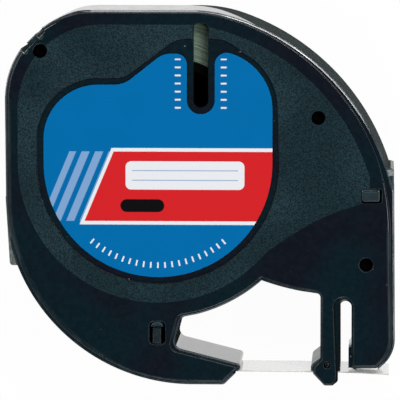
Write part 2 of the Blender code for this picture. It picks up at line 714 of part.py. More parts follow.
def nose_room(prefix, base, top, case):
    """Cutters for the roller pocket and the tape's way under the nose, between its flanges."""
    room = ROLLER_RADIUS + ROLLER_ROOM
    guide, radius = tape_guides()[-1]
    pocket = prism(prefix + '_roller_room', circle(ARM_PIN, room), base, top, case)
    high = guide.y - radius + CHANNEL_CLEARANCE
    low = BOTTOM - NOSE_DROP - OVERRUN
    half = Vector((ARM_WIDTH + NOSE_REACH, (high - low) / 2))
    way = box_outline(Vector((ARM_PIN.x, (high + low) / 2)), half)
    return [pocket, prism(prefix + '_tape_way', way, base, top, case)]


def socket(name, centre, base, top, case):
    """Cutter for a roller pin's hole."""
    return prism(name, circle(centre, ROLLER_PIN_RADIUS + ROLLER_FIT), base, top, case)


def build_rear_shell(case):
    """Deep half: floor, walls, ears, spool post, locating pins and snap tongues."""
    shell = lofted('rear_shell', edge_rings(rear_outline(), 0, SHELL_TOP, REAR_ROUNDING, 0), case)
    above = CASE_DEPTH + OVERRUN
    ear_top = SHELL_TOP - REAR_STEP
    ears = [prism('shell_left_ear', left_ear(), REAR_ROUNDING, ear_top, case),
            prism('shell_right_ear', right_ear(), REAR_ROUNDING, ear_top, case),
            prism('shell_leg_pad', leg_pad(), REAR_ROUNDING, ear_top, case)]
    combine(shell, 'UNION', ears)
    hollows = [prism('shell_chamber', circle((0, 0), CHAMBER_RADIUS), FLOOR_THICKNESS, above, case),
               prism('shell_passage', tape_passage(), FLOOR_THICKNESS, above, case),
               prism('shell_pocket', side_pocket(), FLOOR_THICKNESS, above, case)]
    combine(shell, 'DIFFERENCE', hollows + nose_room('shell', FLANGE_THICKNESS, above, case))
    combine(shell, 'UNION', shell_bearings(case) + shell_pins(case) + shell_snaps(case))
    bore = circle((0, 0), POST_RADIUS - POST_WALL)
    bores = [prism('shell_post_bore', bore, -OVERRUN, BOSS_BASE - POST_BORE_STOP, case),
             socket('shell_root_socket', ROOT_PIN, PIN_SOCKET, above, case),
             socket('shell_arm_socket', ARM_PIN, PIN_SOCKET, above, case)]
    combine(shell, 'DIFFERENCE', bores)
    finish(shell, (0.012, 0.022, 0.028), 0.35)


def shell_bearings(case):
    """Spool post with its shoulder, the brake's clamp and the seat of the inner roller."""
    shoulder = circle((0, 0), POST_RADIUS + SHOULDER_WIDTH)
    seat = circle(ROOT_PIN, ROLLER_RADIUS - ROLLER_ROOM)
    return [prism('shell_post', circle((0, 0), POST_RADIUS), FLOOR_ROOT, BOSS_BASE, case),
            prism('shell_shoulder', shoulder, FLOOR_ROOT, SHOULDER_TOP, case),
            prism('shell_brake_clamp', clamp_outline(), FLOOR_ROOT, SHELL_TOP, case),
            prism('shell_root_seat', seat, FLOOR_ROOT, TAPE_BACK - ROLLER_END_GAP, case)]


def shell_pins(case):
    """Locating pins that reach up into the cover's holes, two of them on posts."""
    pins = [prism('shell_corner_pin', circle(CORNER_PIN, PIN_RADIUS), FLOOR_ROOT, PIN_TOP, case)]
    for index, centre in enumerate((UPPER_PIN, LEG_PIN)):
        post = circle(centre, PIN_RADIUS + PIN_POST_WALL)
        pins.append(prism(f'shell_pin_post_{index}', post, FLOOR_ROOT, CEILING - SEAM_GAP, case))
        pins.append(prism(f'shell_pin_{index}', circle(centre, PIN_RADIUS), FLOOR_ROOT, PIN_TOP, case))
    return pins


def shell_snaps(case):
    """The three snap tongues: right side, below the chamber and across the top left corner."""
    top = CASE_DEPTH - SNAP_DEPTH
    length = CORNER_SNAP_LENGTH - 2 * CORNER_SNAP_INSET
    inner = corner_box(CORNER_SNAP_DEPTH - SNAP_FIT, length)[:2]
    outer = corner_box(SNAP_FIT, length)[:2]
    side = box_outline(SIDE_SNAP_CENTRE, SIDE_SNAP_HALF)
    lower = box_outline(LOWER_SNAP_CENTRE, LOWER_SNAP_HALF)
    return [prism('shell_side_snap', side, FLOOR_ROOT, top, case),
            prism('shell_lower_snap', lower, FLOOR_ROOT, top, case),
            prism('shell_corner_snap', inner + outer[::-1], FLOOR_ROOT, top - SNAP_DEPTH, case)]


def build_front_cover(case):
    """Shallow half: face, skirt, label recess, window slot, pin holes and snap windows."""
    rings = edge_rings(case_outline(), COVER_BASE, CASE_DEPTH, 0, FRONT_ROUNDING)
    cover = lofted('front_cover', rings, case)
    below = COVER_BASE - OVERRUN
    above = CASE_DEPTH + OVERRUN
    inside = CEILING - OVERRUN / 2
    cuts = [prism('cover_chamber', circle((0, 0), CHAMBER_RADIUS), below, CEILING, case),
            prism('cover_passage', tape_passage(), below, CEILING, case),
            prism('cover_pocket', side_pocket(), below, CEILING, case),
            prism('cover_recess', recess_outline(), LABEL_FLOOR, above, case),
            prism('cover_window', window_outline(), inside, above, case),
            prism('cover_corner_hole', circle(CORNER_PIN, PIN_HOLE_RADIUS), below, above, case)]
    for index, centre in enumerate((UPPER_PIN, LEG_PIN)):
        cuts.append(prism(f'cover_pin_hole_{index}', circle(centre, PIN_HOLE_RADIUS), inside, above, case))
    side = box_outline(SIDE_SNAP_CENTRE, SIDE_SNAP_HALF + Vector((SNAP_FIT, SNAP_FIT)))
    lower = box_outline(LOWER_SNAP_CENTRE, LOWER_SNAP_HALF + Vector((LOWER_SNAP_ROOM, LOWER_SNAP_ROOM)))
    notch = corner_box(CORNER_SNAP_DEPTH, CORNER_SNAP_LENGTH)
    cuts.append(prism('cover_side_window', side, inside, above, case))
    cuts.append(prism('cover_lower_window', lower, inside, above, case))
    cuts.append(prism('cover_corner_notch', notch, below, above, case))
    cuts += nose_room('cover', below, CASE_DEPTH - FLANGE_THICKNESS, case)
    combine(cover, 'DIFFERENCE', cuts)
    boss_inner = POST_RADIUS + POST_FIT
    boss = turned('cover_boss', [(boss_inner, BOSS_BASE), (HUB_RADIUS, BOSS_BASE),
                                 (HUB_RADIUS, PLATE_ROOT), (boss_inner, PLATE_ROOT)], case)
    seat_outline = circle(ROOT_PIN, ROLLER_RADIUS - ROLLER_ROOM)
    seat = prism('cover_root_seat', seat_outline, TAPE_FRONT + ROLLER_END_GAP, PLATE_ROOT, case)
    combine(cover, 'UNION', [boss, seat])
    sockets = [socket('cover_root_socket', ROOT_PIN, below, CASE_DEPTH - PIN_SOCKET, case),
               socket('cover_arm_socket', ARM_PIN, below, above, case)]
    combine(cover, 'DIFFERENCE', sockets)
    finish(cover, (0.013, 0.025, 0.031), 0.45)


def build_label(case):
    """Printed sticker on the floor of the recess."""
    base = LABEL_FLOOR + LABEL_GLUE_GAP
    label = prism('front_label', label_outline(), base, base + LABEL_THICKNESS, case)
    finish(label, (0.003, 0.15, 0.42), 0.4)


def build_spool(case):
    """Tape core on its post and the tape wound on it."""
    rim = CORE_RADIUS - CORE_TAPE_GAP
    inner_rim = rim - CORE_RIM
    web_top = HUB_BASE + CORE_WEB
    core = turned('tape_core', [(HUB_BORE, HUB_BASE), (rim, HUB_BASE), (rim, TAPE_FRONT),
                                (inner_rim, TAPE_FRONT), (inner_rim, web_top), (HUB_RADIUS, web_top),
                                (HUB_RADIUS, HUB_TOP), (HUB_BORE, HUB_TOP)], case)
    middle = (HUB_RADIUS + inner_rim) / 2
    holes = []
    for index in range(CORE_HOLE_COUNT):
        angle = 2 * math.pi * index / CORE_HOLE_COUNT
        centre = (middle * math.cos(angle), middle * math.sin(angle))
        holes.append(prism(f'core_hole_{index}', circle(centre, CORE_HOLE_RADIUS), HUB_BASE - OVERRUN / 2,
                           web_top + OVERRUN, case))
    combine(core, 'DIFFERENCE', holes)
    finish(core, (0.01, 0.01, 0.011), 0.5)
    roll = turned('tape_roll', [(CORE_RADIUS, TAPE_BACK), (ROLL_RADIUS, TAPE_BACK),
                                (ROLL_RADIUS, TAPE_FRONT), (CORE_RADIUS, TAPE_FRONT)], case)
    finish(roll, (0.28, 0.28, 0.22), 0.6)


def build_drag(case):
    """Felt washer and wave spring that keep the spool from overrunning."""
    inner = HUB_BORE
    washer = turned('drag_washer', [(inner, WASHER_BASE), (HUB_RADIUS, WASHER_BASE),
                                    (HUB_RADIUS, WASHER_BASE + WASHER_THICKNESS),
                                    (inner, WASHER_BASE + WASHER_THICKNESS)], case)
    finish(washer, (0.35, 0.34, 0.3), 0.95)
    spring = turned('drag_spring', [(inner, SPRING_BASE), (HUB_RADIUS, SPRING_BASE),
                                    (HUB_RADIUS, SPRING_BASE + SPRING_THICKNESS),
                                    (inner, SPRING_BASE + SPRING_THICKNESS)], case)
    for vertex in spring.data.vertices:
        turn = SPRING_WAVES * math.atan2(vertex.co.y, vertex.co.x)
        vertex.co.z += SPRING_RISE * (1 - math.cos(turn)) / 2
    finish(spring, (0.6, 0.6, 0.62), 0.3, 1.0)


def build_roller(name, centre, pin_top, case):
    """Guide roller and its steel pin."""
    bore = ROLLER_PIN_RADIUS + ROLLER_FIT
    roller = turned(name, [(bore, TAPE_BACK), (ROLLER_RADIUS, TAPE_BACK), (ROLLER_RADIUS, TAPE_FRONT),
                           (bore, TAPE_FRONT)], case, (centre.x, centre.y, 0))
    finish(roller, (0.8, 0.8, 0.78), 0.35)
    pin = prism(name + '_pin', circle((0, 0), ROLLER_PIN_RADIUS), PIN_SOCKET + ROLLER_FIT, pin_top, case,
                (centre.x, centre.y, 0))
    finish(pin, (0.55, 0.55, 0.56), 0.3, 1.0)


def build_lead(case):
    """The free tape: printable film on the roller side and its backing liner below."""
    path = tape_path()
    split = TAPE_THICKNESS / 2 - FILM_THICKNESS
    film = strip('lead_film', path, split + LABEL_GLUE_GAP / 2, TAPE_THICKNESS / 2, case)
    finish(film, (0.85, 0.84, 0.8), 0.4)
    liner = strip('lead_liner', path, -TAPE_THICKNESS / 2, split - LABEL_GLUE_GAP / 2, case)
    finish(liner, (0.75, 0.73, 0.66), 0.6)


def build_brake(case):
    """Leaf spring and felt pad that hold the tape end in the tongue."""
    base = TAPE_BACK + BRAKE_SIDE_GAP
    top = TAPE_FRONT - BRAKE_SIDE_GAP
    leaf = leaf_height()
    half = BRAKE_LEAF_THICKNESS / 2
    first = BRAKE_START + BRAKE_FIT
    last = BRAKE_START + BRAKE_LEAF_LENGTH
    spring = prism('brake_leaf', [on_run(first, leaf - half), on_run(last, leaf - half),
                                  on_run(last, leaf + half), on_run(first, leaf + half)], base, top, case)
    finish(spring, (0.6, 0.6, 0.62), 0.3, 1.0)
    low = TAPE_THICKNESS / 2 + TAPE_GAP
    start = last - BRAKE_PAD_LENGTH
    high = low + BRAKE_PAD_THICKNESS
    pad = prism('brake_pad', [on_run(start, low), on_run(last, low), on_run(last, high),
                              on_run(start, high)], base, top, case)
    finish(pad, (0.3, 0.29, 0.26), 0.95)


def build_case_frame():
    """Empty that carries the case frame, set so that the assembly is centred on the origin."""
    frame = bpy.data.objects.new('case_frame', None)
    outline = rear_outline() + left_ear() + right_ear()
    middle_x = (min(p.x for p in outline) + max(p.x for p in outline)) / 2
    middle_y = (min(p.y for p in outline) + max(p.y for p in outline)) / 2
    frame.location = (-middle_x, -middle_y, 0)
    bpy.context.scene.collection.objects.link(frame)
    return frame


def build():
    """Clear the scene and build every piece."""
    for thing in list(bpy.data.objects):
        bpy.data.objects.remove(thing)
    case = build_case_frame()
    build_rear_shell(case)
    build_front_cover(case)
    build_label(case)
    build_spool(case)
    build_drag(case)
    build_roller('root_roller', ROOT_PIN, CASE_DEPTH - PIN_SOCKET - ROLLER_FIT, case)
    build_roller('arm_roller', ARM_PIN, CASE_DEPTH - PIN_RECESS, case)
    build_lead(case)
    build_brake(case)


build()
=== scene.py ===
"""Looks of a label tape cassette: two moulded case halves, a printed label, the wound tape and its lead.

Shapes are drawn in millimetres in the case frame, which has its origin on the spool axis at the
back face, X right and Y up when the printed face is seen, and Z out of that face. Each mesh is
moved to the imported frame, in metres, when it is made.
"""
import json
import logging
import math
from dataclasses import dataclass, field
from enum import Enum
from typing import Iterable, Optional, Sequence

import bmesh
import bpy
import numpy as np
from mathutils import Matrix, Vector


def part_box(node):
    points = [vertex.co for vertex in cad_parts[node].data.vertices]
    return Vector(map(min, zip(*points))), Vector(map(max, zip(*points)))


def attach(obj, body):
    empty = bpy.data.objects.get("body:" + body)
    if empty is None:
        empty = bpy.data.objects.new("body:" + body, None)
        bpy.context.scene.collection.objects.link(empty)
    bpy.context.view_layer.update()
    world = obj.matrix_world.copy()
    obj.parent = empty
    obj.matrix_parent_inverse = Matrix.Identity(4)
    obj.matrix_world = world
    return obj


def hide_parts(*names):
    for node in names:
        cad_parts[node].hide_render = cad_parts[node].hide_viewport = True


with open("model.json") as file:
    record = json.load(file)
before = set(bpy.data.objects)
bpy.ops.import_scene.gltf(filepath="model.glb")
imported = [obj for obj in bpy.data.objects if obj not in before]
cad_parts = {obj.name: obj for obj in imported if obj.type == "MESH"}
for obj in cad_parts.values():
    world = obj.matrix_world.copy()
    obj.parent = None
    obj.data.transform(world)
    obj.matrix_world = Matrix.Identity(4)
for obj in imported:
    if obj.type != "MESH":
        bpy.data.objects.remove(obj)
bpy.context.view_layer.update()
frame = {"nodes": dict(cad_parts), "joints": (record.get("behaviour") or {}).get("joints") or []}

log = logging.getLogger("cassette")

Array = np.ndarray
Socket = bpy.types.NodeSocket
Colour = tuple[float, float, float]

MM = 0.001
ARC_TOLERANCE = 0.0015
ARC_STEP_LIMIT = 6.0
FILLET_STEPS = 10
FILLET_SHARE = 0.45
RIM_STEPS = 6
OVERRUN = 1.0
SHARP_ANGLE = 32.0
NOISE_SEED = 7

JOINTS = {joint["name"]: joint for joint in frame["joints"]}
SPOOL_AXIS = np.array(JOINTS["spool_spin"]["pos_m"][:2]) / MM


class Body(Enum):
    """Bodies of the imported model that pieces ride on."""

    CASE = "case"
    SPOOL = "spool"
    ROOT_GUIDE = "root_guide"
    ARM_GUIDE = "arm_guide"


class Cut(Enum):
    """Ways to combine a solid with others."""

    ADD = "UNION"
    TAKE = "DIFFERENCE"


def node_box(node: str) -> tuple[Array, Array]:
    """Corners of a CAD node in the case frame.

    Args:
        node: name of the CAD node.

    Returns:
        Lowest and highest corner, in millimetres.
    """
    low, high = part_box(node)
    shift = np.array([*SPOOL_AXIS, 0.0])
    return np.array(low) / MM - shift, np.array(high) / MM - shift


def polar(radius: float, degrees: float) -> Array:
    """Point at a radius and an angle about the spool axis."""
    return radius * np.array([math.cos(math.radians(degrees)), math.sin(math.radians(degrees))])


def unit(vectors: Array) -> Array:
    """Vectors divided by their own lengths."""
    return vectors / np.maximum(np.linalg.norm(vectors, axis=-1, keepdims=True), 1e-12)


def arc(centre: Sequence[float], radius: float, start: float, end: float) -> Array:
    """Points on an arc: the centre plus the radius times cosine and sine of even angles.

    Args:
        centre: middle of the circle.
        radius: radius of the circle.
        start: first angle in degrees.
        end: last angle in degrees.

    Returns:
        Points in order, both ends included.
    """
    step = math.degrees(2 * math.acos(1 - ARC_TOLERANCE / radius))
    count = max(2, math.ceil(abs(end - start) / min(step, ARC_STEP_LIMIT)))
    angles = np.radians(np.linspace(start, end, count + 1))
    return np.array(centre) + radius * np.stack([np.cos(angles), np.sin(angles)], axis=1)


def ring(centre: Sequence[float], radius: float) -> Array:
    """A closed circle as an outline."""
    return arc(centre, radius, 0.0, 360.0)[:-1]


def oblong(centre: Sequence[float], half: Sequence[float], corner: float) -> Array:
    """An upright rectangle with rounded corners as an outline."""
    signs = np.array([(-1, -1), (1, -1), (1, 1), (-1, 1)])
    trace = Trace()
    for point in np.array(centre) + signs * np.array(half):
        trace.corner(point, corner)
    return trace.outline()


def bowed(start: Array, end: Array, bow: float) -> Array:
    """Arc between two points that bulges to the right of the way by a given height.

    Args:
        start: first point.
        end: last point.
        bow: height of the arc over its chord.

    Returns:
        Points in order, both ends included.
    """
    chord = np.linalg.norm(end - start)
    radius = chord ** 2 / (8 * bow) + bow / 2
    way = (end - start) / chord
    left = np.array([-way[1], way[0]])
    centre = (start + end) / 2 + left * (radius - bow)
    half = math.degrees(math.asin(chord / 2 / radius))
    middle = math.degrees(math.atan2(-left[1], -left[0]))
    return arc(centre, radius, middle - half, middle + half)


class Trace:
    """A closed outline drawn as corners to round and runs of points to keep."""

    def __init__(self) -> None:
        """Start with nothing drawn."""
        self._points: list[Array] = []
        self._radii: list[Array] = []

    def corner(self, point: Sequence[float], radius: float = 0.0) -> "Trace":
        """Add a corner and the radius that rounds it."""
        self._points.append(np.array([point], float))
        self._radii.append(np.array([radius], float))
        return self

    def run(self, points: Array) -> "Trace":
        """Add points that keep their places."""
        self._points.append(np.asarray(points, float))
        self._radii.append(np.zeros(len(points)))
        return self

    def outline(self) -> Array:
        """Round every corner with an arc that touches both of its sides.

        The arc's centre lies on the corner's bisector at the radius over the sine of half the
        angle, and the arc turns from one touching point to the other.

        Returns:
            Points of the closed outline in drawing order.
        """
        points = np.concatenate(self._points)
        radii = np.concatenate(self._radii)
        back = np.roll(points, 1, 0) - points
        ahead = np.roll(points, -1, 0) - points
        cosine = np.clip((unit(back) * unit(ahead)).sum(1), -1, 1)
        half = np.maximum(np.arccos(cosine) / 2, 1e-3)
        room = FILLET_SHARE * np.minimum(np.linalg.norm(back, axis=1), np.linalg.norm(ahead, axis=1))
        reach = np.minimum(radii / np.tan(half), room)
        size = reach * np.tan(half)
        centre = points + unit(unit(back) + unit(ahead)) * (size / np.sin(half))[:, None]
        first = points + unit(back) * reach[:, None] - centre
        last = points + unit(ahead) * reach[:, None] - centre
        start = np.arctan2(first[:, 1], first[:, 0])
        turn = (np.arctan2(last[:, 1], last[:, 0]) - start + math.pi) % (2 * math.pi) - math.pi
        angles = start[:, None] + turn[:, None] * np.linspace(0, 1, FILLET_STEPS + 1)
        swept = centre[:, None] + size[:, None, None] * np.stack([np.cos(angles), np.sin(angles)], 2)
        is_round = radii > 0
        steps = np.where(is_round[:, None, None], swept, points[:, None])
        wanted = is_round[:, None] | (np.arange(FILLET_STEPS + 1) == 0)
        return steps[wanted]


def mitres(outline: Array) -> Array:
    """Outward steps that move an anticlockwise outline by one unit all round.

    Each is the sum of the two side normals over one plus their product, so that moved sides
    stay parallel to the old ones.
    """
    side = unit(np.roll(outline, -1, 0) - outline)
    ahead = np.stack([side[:, 1], -side[:, 0]], 1)
    back = np.roll(ahead, 1, 0)
    return (ahead + back) / (1 + (ahead * back).sum(1, keepdims=True))


def grown(outline: Array, distance: float) -> Array:
    """Outline moved outward by a distance."""
    return outline + mitres(outline) * distance


def quarter(radius: float, z: float, rising: bool, flare: bool) -> Array:
    """Profile of a rounded rim as pairs of outward offset and height.

    The rim is a quarter circle. A plain rim draws the solid in towards its end face, and a
    flared one spreads a cutter there, which rounds the edge of the hole that it leaves.

    Args:
        radius: radius of the rim, 0 for a sharp one.
        z: height of the end face.
        rising: true at the upper end of the solid, false at the lower end.
        flare: true where the solid spreads towards the face.

    Returns:
        Pairs in order of rising height.
    """
    if radius == 0:
        return np.array([[0.0, z]])
    angles = np.linspace(0, math.pi / 2, RIM_STEPS + 1)
    inset = radius * (1 - np.cos(angles))
    drop = radius * (1 - np.sin(angles))
    offset = inset if flare else -inset
    height = z - drop if rising else z + drop
    profile = np.stack([offset, height], 1)
    return profile if rising else profile[::-1]


def in_place(points: Array) -> Array:
    """Points of the case frame, in millimetres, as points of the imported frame, in metres."""
    return (points + np.array([*SPOOL_AXIS, 0.0])) * MM


def new_object(name: str, points: Array, faces: list, finish: Optional["Finish"] = None) -> bpy.types.Object:
    """Put points and faces into an object that sits at the origin.

    Args:
        name: name of the object.
        points: corner points in the case frame.
        faces: lists of point numbers, anticlockwise seen from outside.
        finish: finish of every face, if it has one.

    Returns:
        The new object.
    """
    mesh = bpy.data.meshes.new(name)
    mesh.from_pydata(in_place(points), [], faces)
    mesh.update()
    thing = bpy.data.objects.new(name, mesh)
    bpy.context.scene.collection.objects.link(thing)
    if finish is not None:
        mesh.materials.append(finish.material())
    return thing


def grid_faces(rows: int, columns: int, closed_rows: bool = False, closed_columns: bool = True) -> Array:
    """Four-sided faces over a grid of points numbered row by row.

    Args:
        rows: number of rows.
        columns: number of points in a row.
        closed_rows: true where the last row meets the first one.
        closed_columns: true where a row's last point meets its first one.

    Returns:
        Point numbers, four to a face.
    """
    row = np.arange(rows if closed_rows else rows - 1)[:, None]
    column = np.arange(columns if closed_columns else columns - 1)[None, :]
    up = (row + 1) % rows
    along = (column + 1) % columns
    corners = [row * columns + column, row * columns + along, up * columns + along, up * columns + column]
    return np.stack([np.broadcast_to(c, np.broadcast_shapes(row.shape, column.shape)) for c in corners],
                    axis=-1).reshape(-1, 4)


def swept(name: str, outline: Array, profile: Array, finish: Optional["Finish"] = None,
          tilt: Sequence[float] = (0.0, 0.0), share: Optional[Array] = None,
          lean: Optional[Array] = None) -> bpy.types.Object:
    """Closed solid made by carrying a profile round an outline.

    Point i, j is outline point i, moved out by offset j along its mitre, at height j. The upper
    half of the heights also moves out by the lean and rises with the distance from the outline's
    middle, by the tilt. The two end rings are closed by flat caps.

    Args:
        name: name of the object.
        outline: anticlockwise outline.
        profile: pairs of outward offset and height, from the lower end to the upper one.
        finish: finish of every face.
        tilt: rise of the upper end along X and along Y.
        share: part of the offsets that each outline point takes, all of them if not given.
        lean: how far each outline point's upper end stands out, 0 if not given.

    Returns:
        The new object.
    """
    is_upper = profile[:, 1] > profile[:, 1].mean()
    offsets = np.outer(profile[:, 0], np.ones(len(outline)) if share is None else share)
    if lean is not None:
        offsets += np.outer(is_upper, lean)
    flat = outline[None] + mitres(outline)[None] * offsets[..., None]
    rise = (flat - outline.mean(0)) @ np.array(tilt) * is_upper[:, None]
    heights = (profile[:, 1][:, None] + rise)[..., None]
    points = np.concatenate([flat, heights], 2).reshape(-1, 3)
    count = len(outline)
    faces = grid_faces(len(profile), count).tolist()
    faces.append(list(range(count))[::-1])
    faces.append(list(range(len(points) - count, len(points))))
    return new_object(name, points, faces, finish)


def block(name: str, outline: Array, base: float, top: float, finish: Optional["Finish"] = None,
          foot: float = 0.0, head: float = 0.0, flare: bool = False,
          tilt: Sequence[float] = (0.0, 0.0)) -> bpy.types.Object:
    """Upright solid between two heights with rounded or flared rims.

    Args:
        name: name of the object.
        outline: anticlockwise outline.
        base: height of the lower face.
        top: height of the upper face, or of the surface that a flared cutter opens.
        finish: finish of every face.
        foot: radius of the lower rim.
        head: radius of the upper rim.
        flare: true for a cutter, whose upper rim spreads and runs on past the surface.
        tilt: rise of the upper face along X and along Y.

    Returns:
        The new object.
    """
    profile = np.concatenate([quarter(foot, base, False, False), quarter(head, top, True, flare)])
    if flare:
        profile = np.concatenate([profile, [[head, top + OVERRUN]]])
    return swept(name, outline, profile, finish, tilt)


def turned(name: str, profile: Array, centre: Sequence[float], finish: Optional["Finish"] = None,
           wave: Optional[Array] = None, steps: int = 128) -> bpy.types.Object:
    """Solid of revolution: each pair of radius and height turned about an upright axis.

    Args:
        name: name of the object.
        profile: closed run of pairs, anticlockwise with radius to the right.
        centre: place of the axis.
        finish: finish of every face.
        wave: extra height for each profile point and each angle, if the surface isn't even.
        steps: number of angles in a turn.

    Returns:
        The new object.
    """
    angles = np.linspace(0, 2 * math.pi, steps, endpoint=False)
    around = np.stack([np.cos(angles), np.sin(angles)], 1)
    flat = np.array(centre) + profile[:, 0][:, None, None] * around[None]
    heights = np.broadcast_to(profile[:, 1][:, None], flat.shape[:2])
    heights = heights if wave is None else heights + wave
    points = np.concatenate([flat, heights[..., None]], 2).reshape(-1, 3)
    faces = grid_faces(len(profile), steps, closed_rows=True)
    return new_object(name, points, faces[:, ::-1].tolist(), finish)


def combine(target: bpy.types.Object, how: Cut, tools: Iterable[bpy.types.Object]) -> None:
    """Add solids to a solid or take them from it, with each face keeping its own finish.

    Args:
        target: solid that changes.
        how: whether the tools are added or taken away.
        tools: other solids, which are used up.
    """
    tools = list(tools)
    for tool in tools:
        step = target.modifiers.new(tool.name, "BOOLEAN")
        step.operation = how.value
        step.solver = "EXACT"
        step.material_mode = "TRANSFER"
        step.object = tool
    seen = target.evaluated_get(bpy.context.evaluated_depsgraph_get())
    mesh = bpy.data.meshes.new_from_object(seen)
    target.modifiers.clear()
    target.data = mesh
    for tool in tools:
        bpy.data.objects.remove(tool)


def smooth(thing: bpy.types.Object, angle: float = SHARP_ANGLE) -> None:
    """Shade rounds softly and keep flat faces flat, with creases where faces meet sharply."""
    thing.data.shade_smooth()
    thing.data.set_sharp_from_angle(angle=math.radians(angle))
    weighted = thing.modifiers.new("flat_faces_lead", "WEIGHTED_NORMAL")
    weighted.keep_sharp = True


def refinish(thing: bpy.types.Object, chosen: Array, finish: "Finish") -> None:
    """Give another finish to the chosen faces of an object.

    Args:
        thing: object whose faces change.
        chosen: true for each face that takes the finish.
        finish: the new finish.
    """
    mesh = thing.data
    slots = np.empty(len(mesh.polygons), np.int32)
    mesh.polygons.foreach_get("material_index", slots)
    mesh.materials.append(finish.material())
    slots[chosen] = len(mesh.materials) - 1
    mesh.polygons.foreach_set("material_index", slots)


def split(thing: bpy.types.Object, point: Sequence[float], normal: Sequence[float]) -> None:
    """Cut the faces of an object along a plane and keep both sides.

    Args:
        thing: object whose faces are cut.
        point: a point of the plane, in the case frame.
        normal: direction square to the plane.
    """
    mesh = bmesh.new()
    mesh.from_mesh(thing.data)
    everything = [*mesh.verts, *mesh.edges, *mesh.faces]
    bmesh.ops.bisect_plane(mesh, geom=everything, plane_co=in_place(np.array(point)), plane_no=normal)
    mesh.to_mesh(thing.data)
    mesh.free()


def hand_over(thing: bpy.types.Object, body: Body, node: str) -> bpy.types.Object:
    """Let a finished piece stand in for its CAD node, which is hidden, and ride on a body."""
    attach(thing, body.value)
    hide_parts(node)
    log.info("%s: %d faces on %s", thing.name, len(thing.data.polygons), body.value)
    return thing


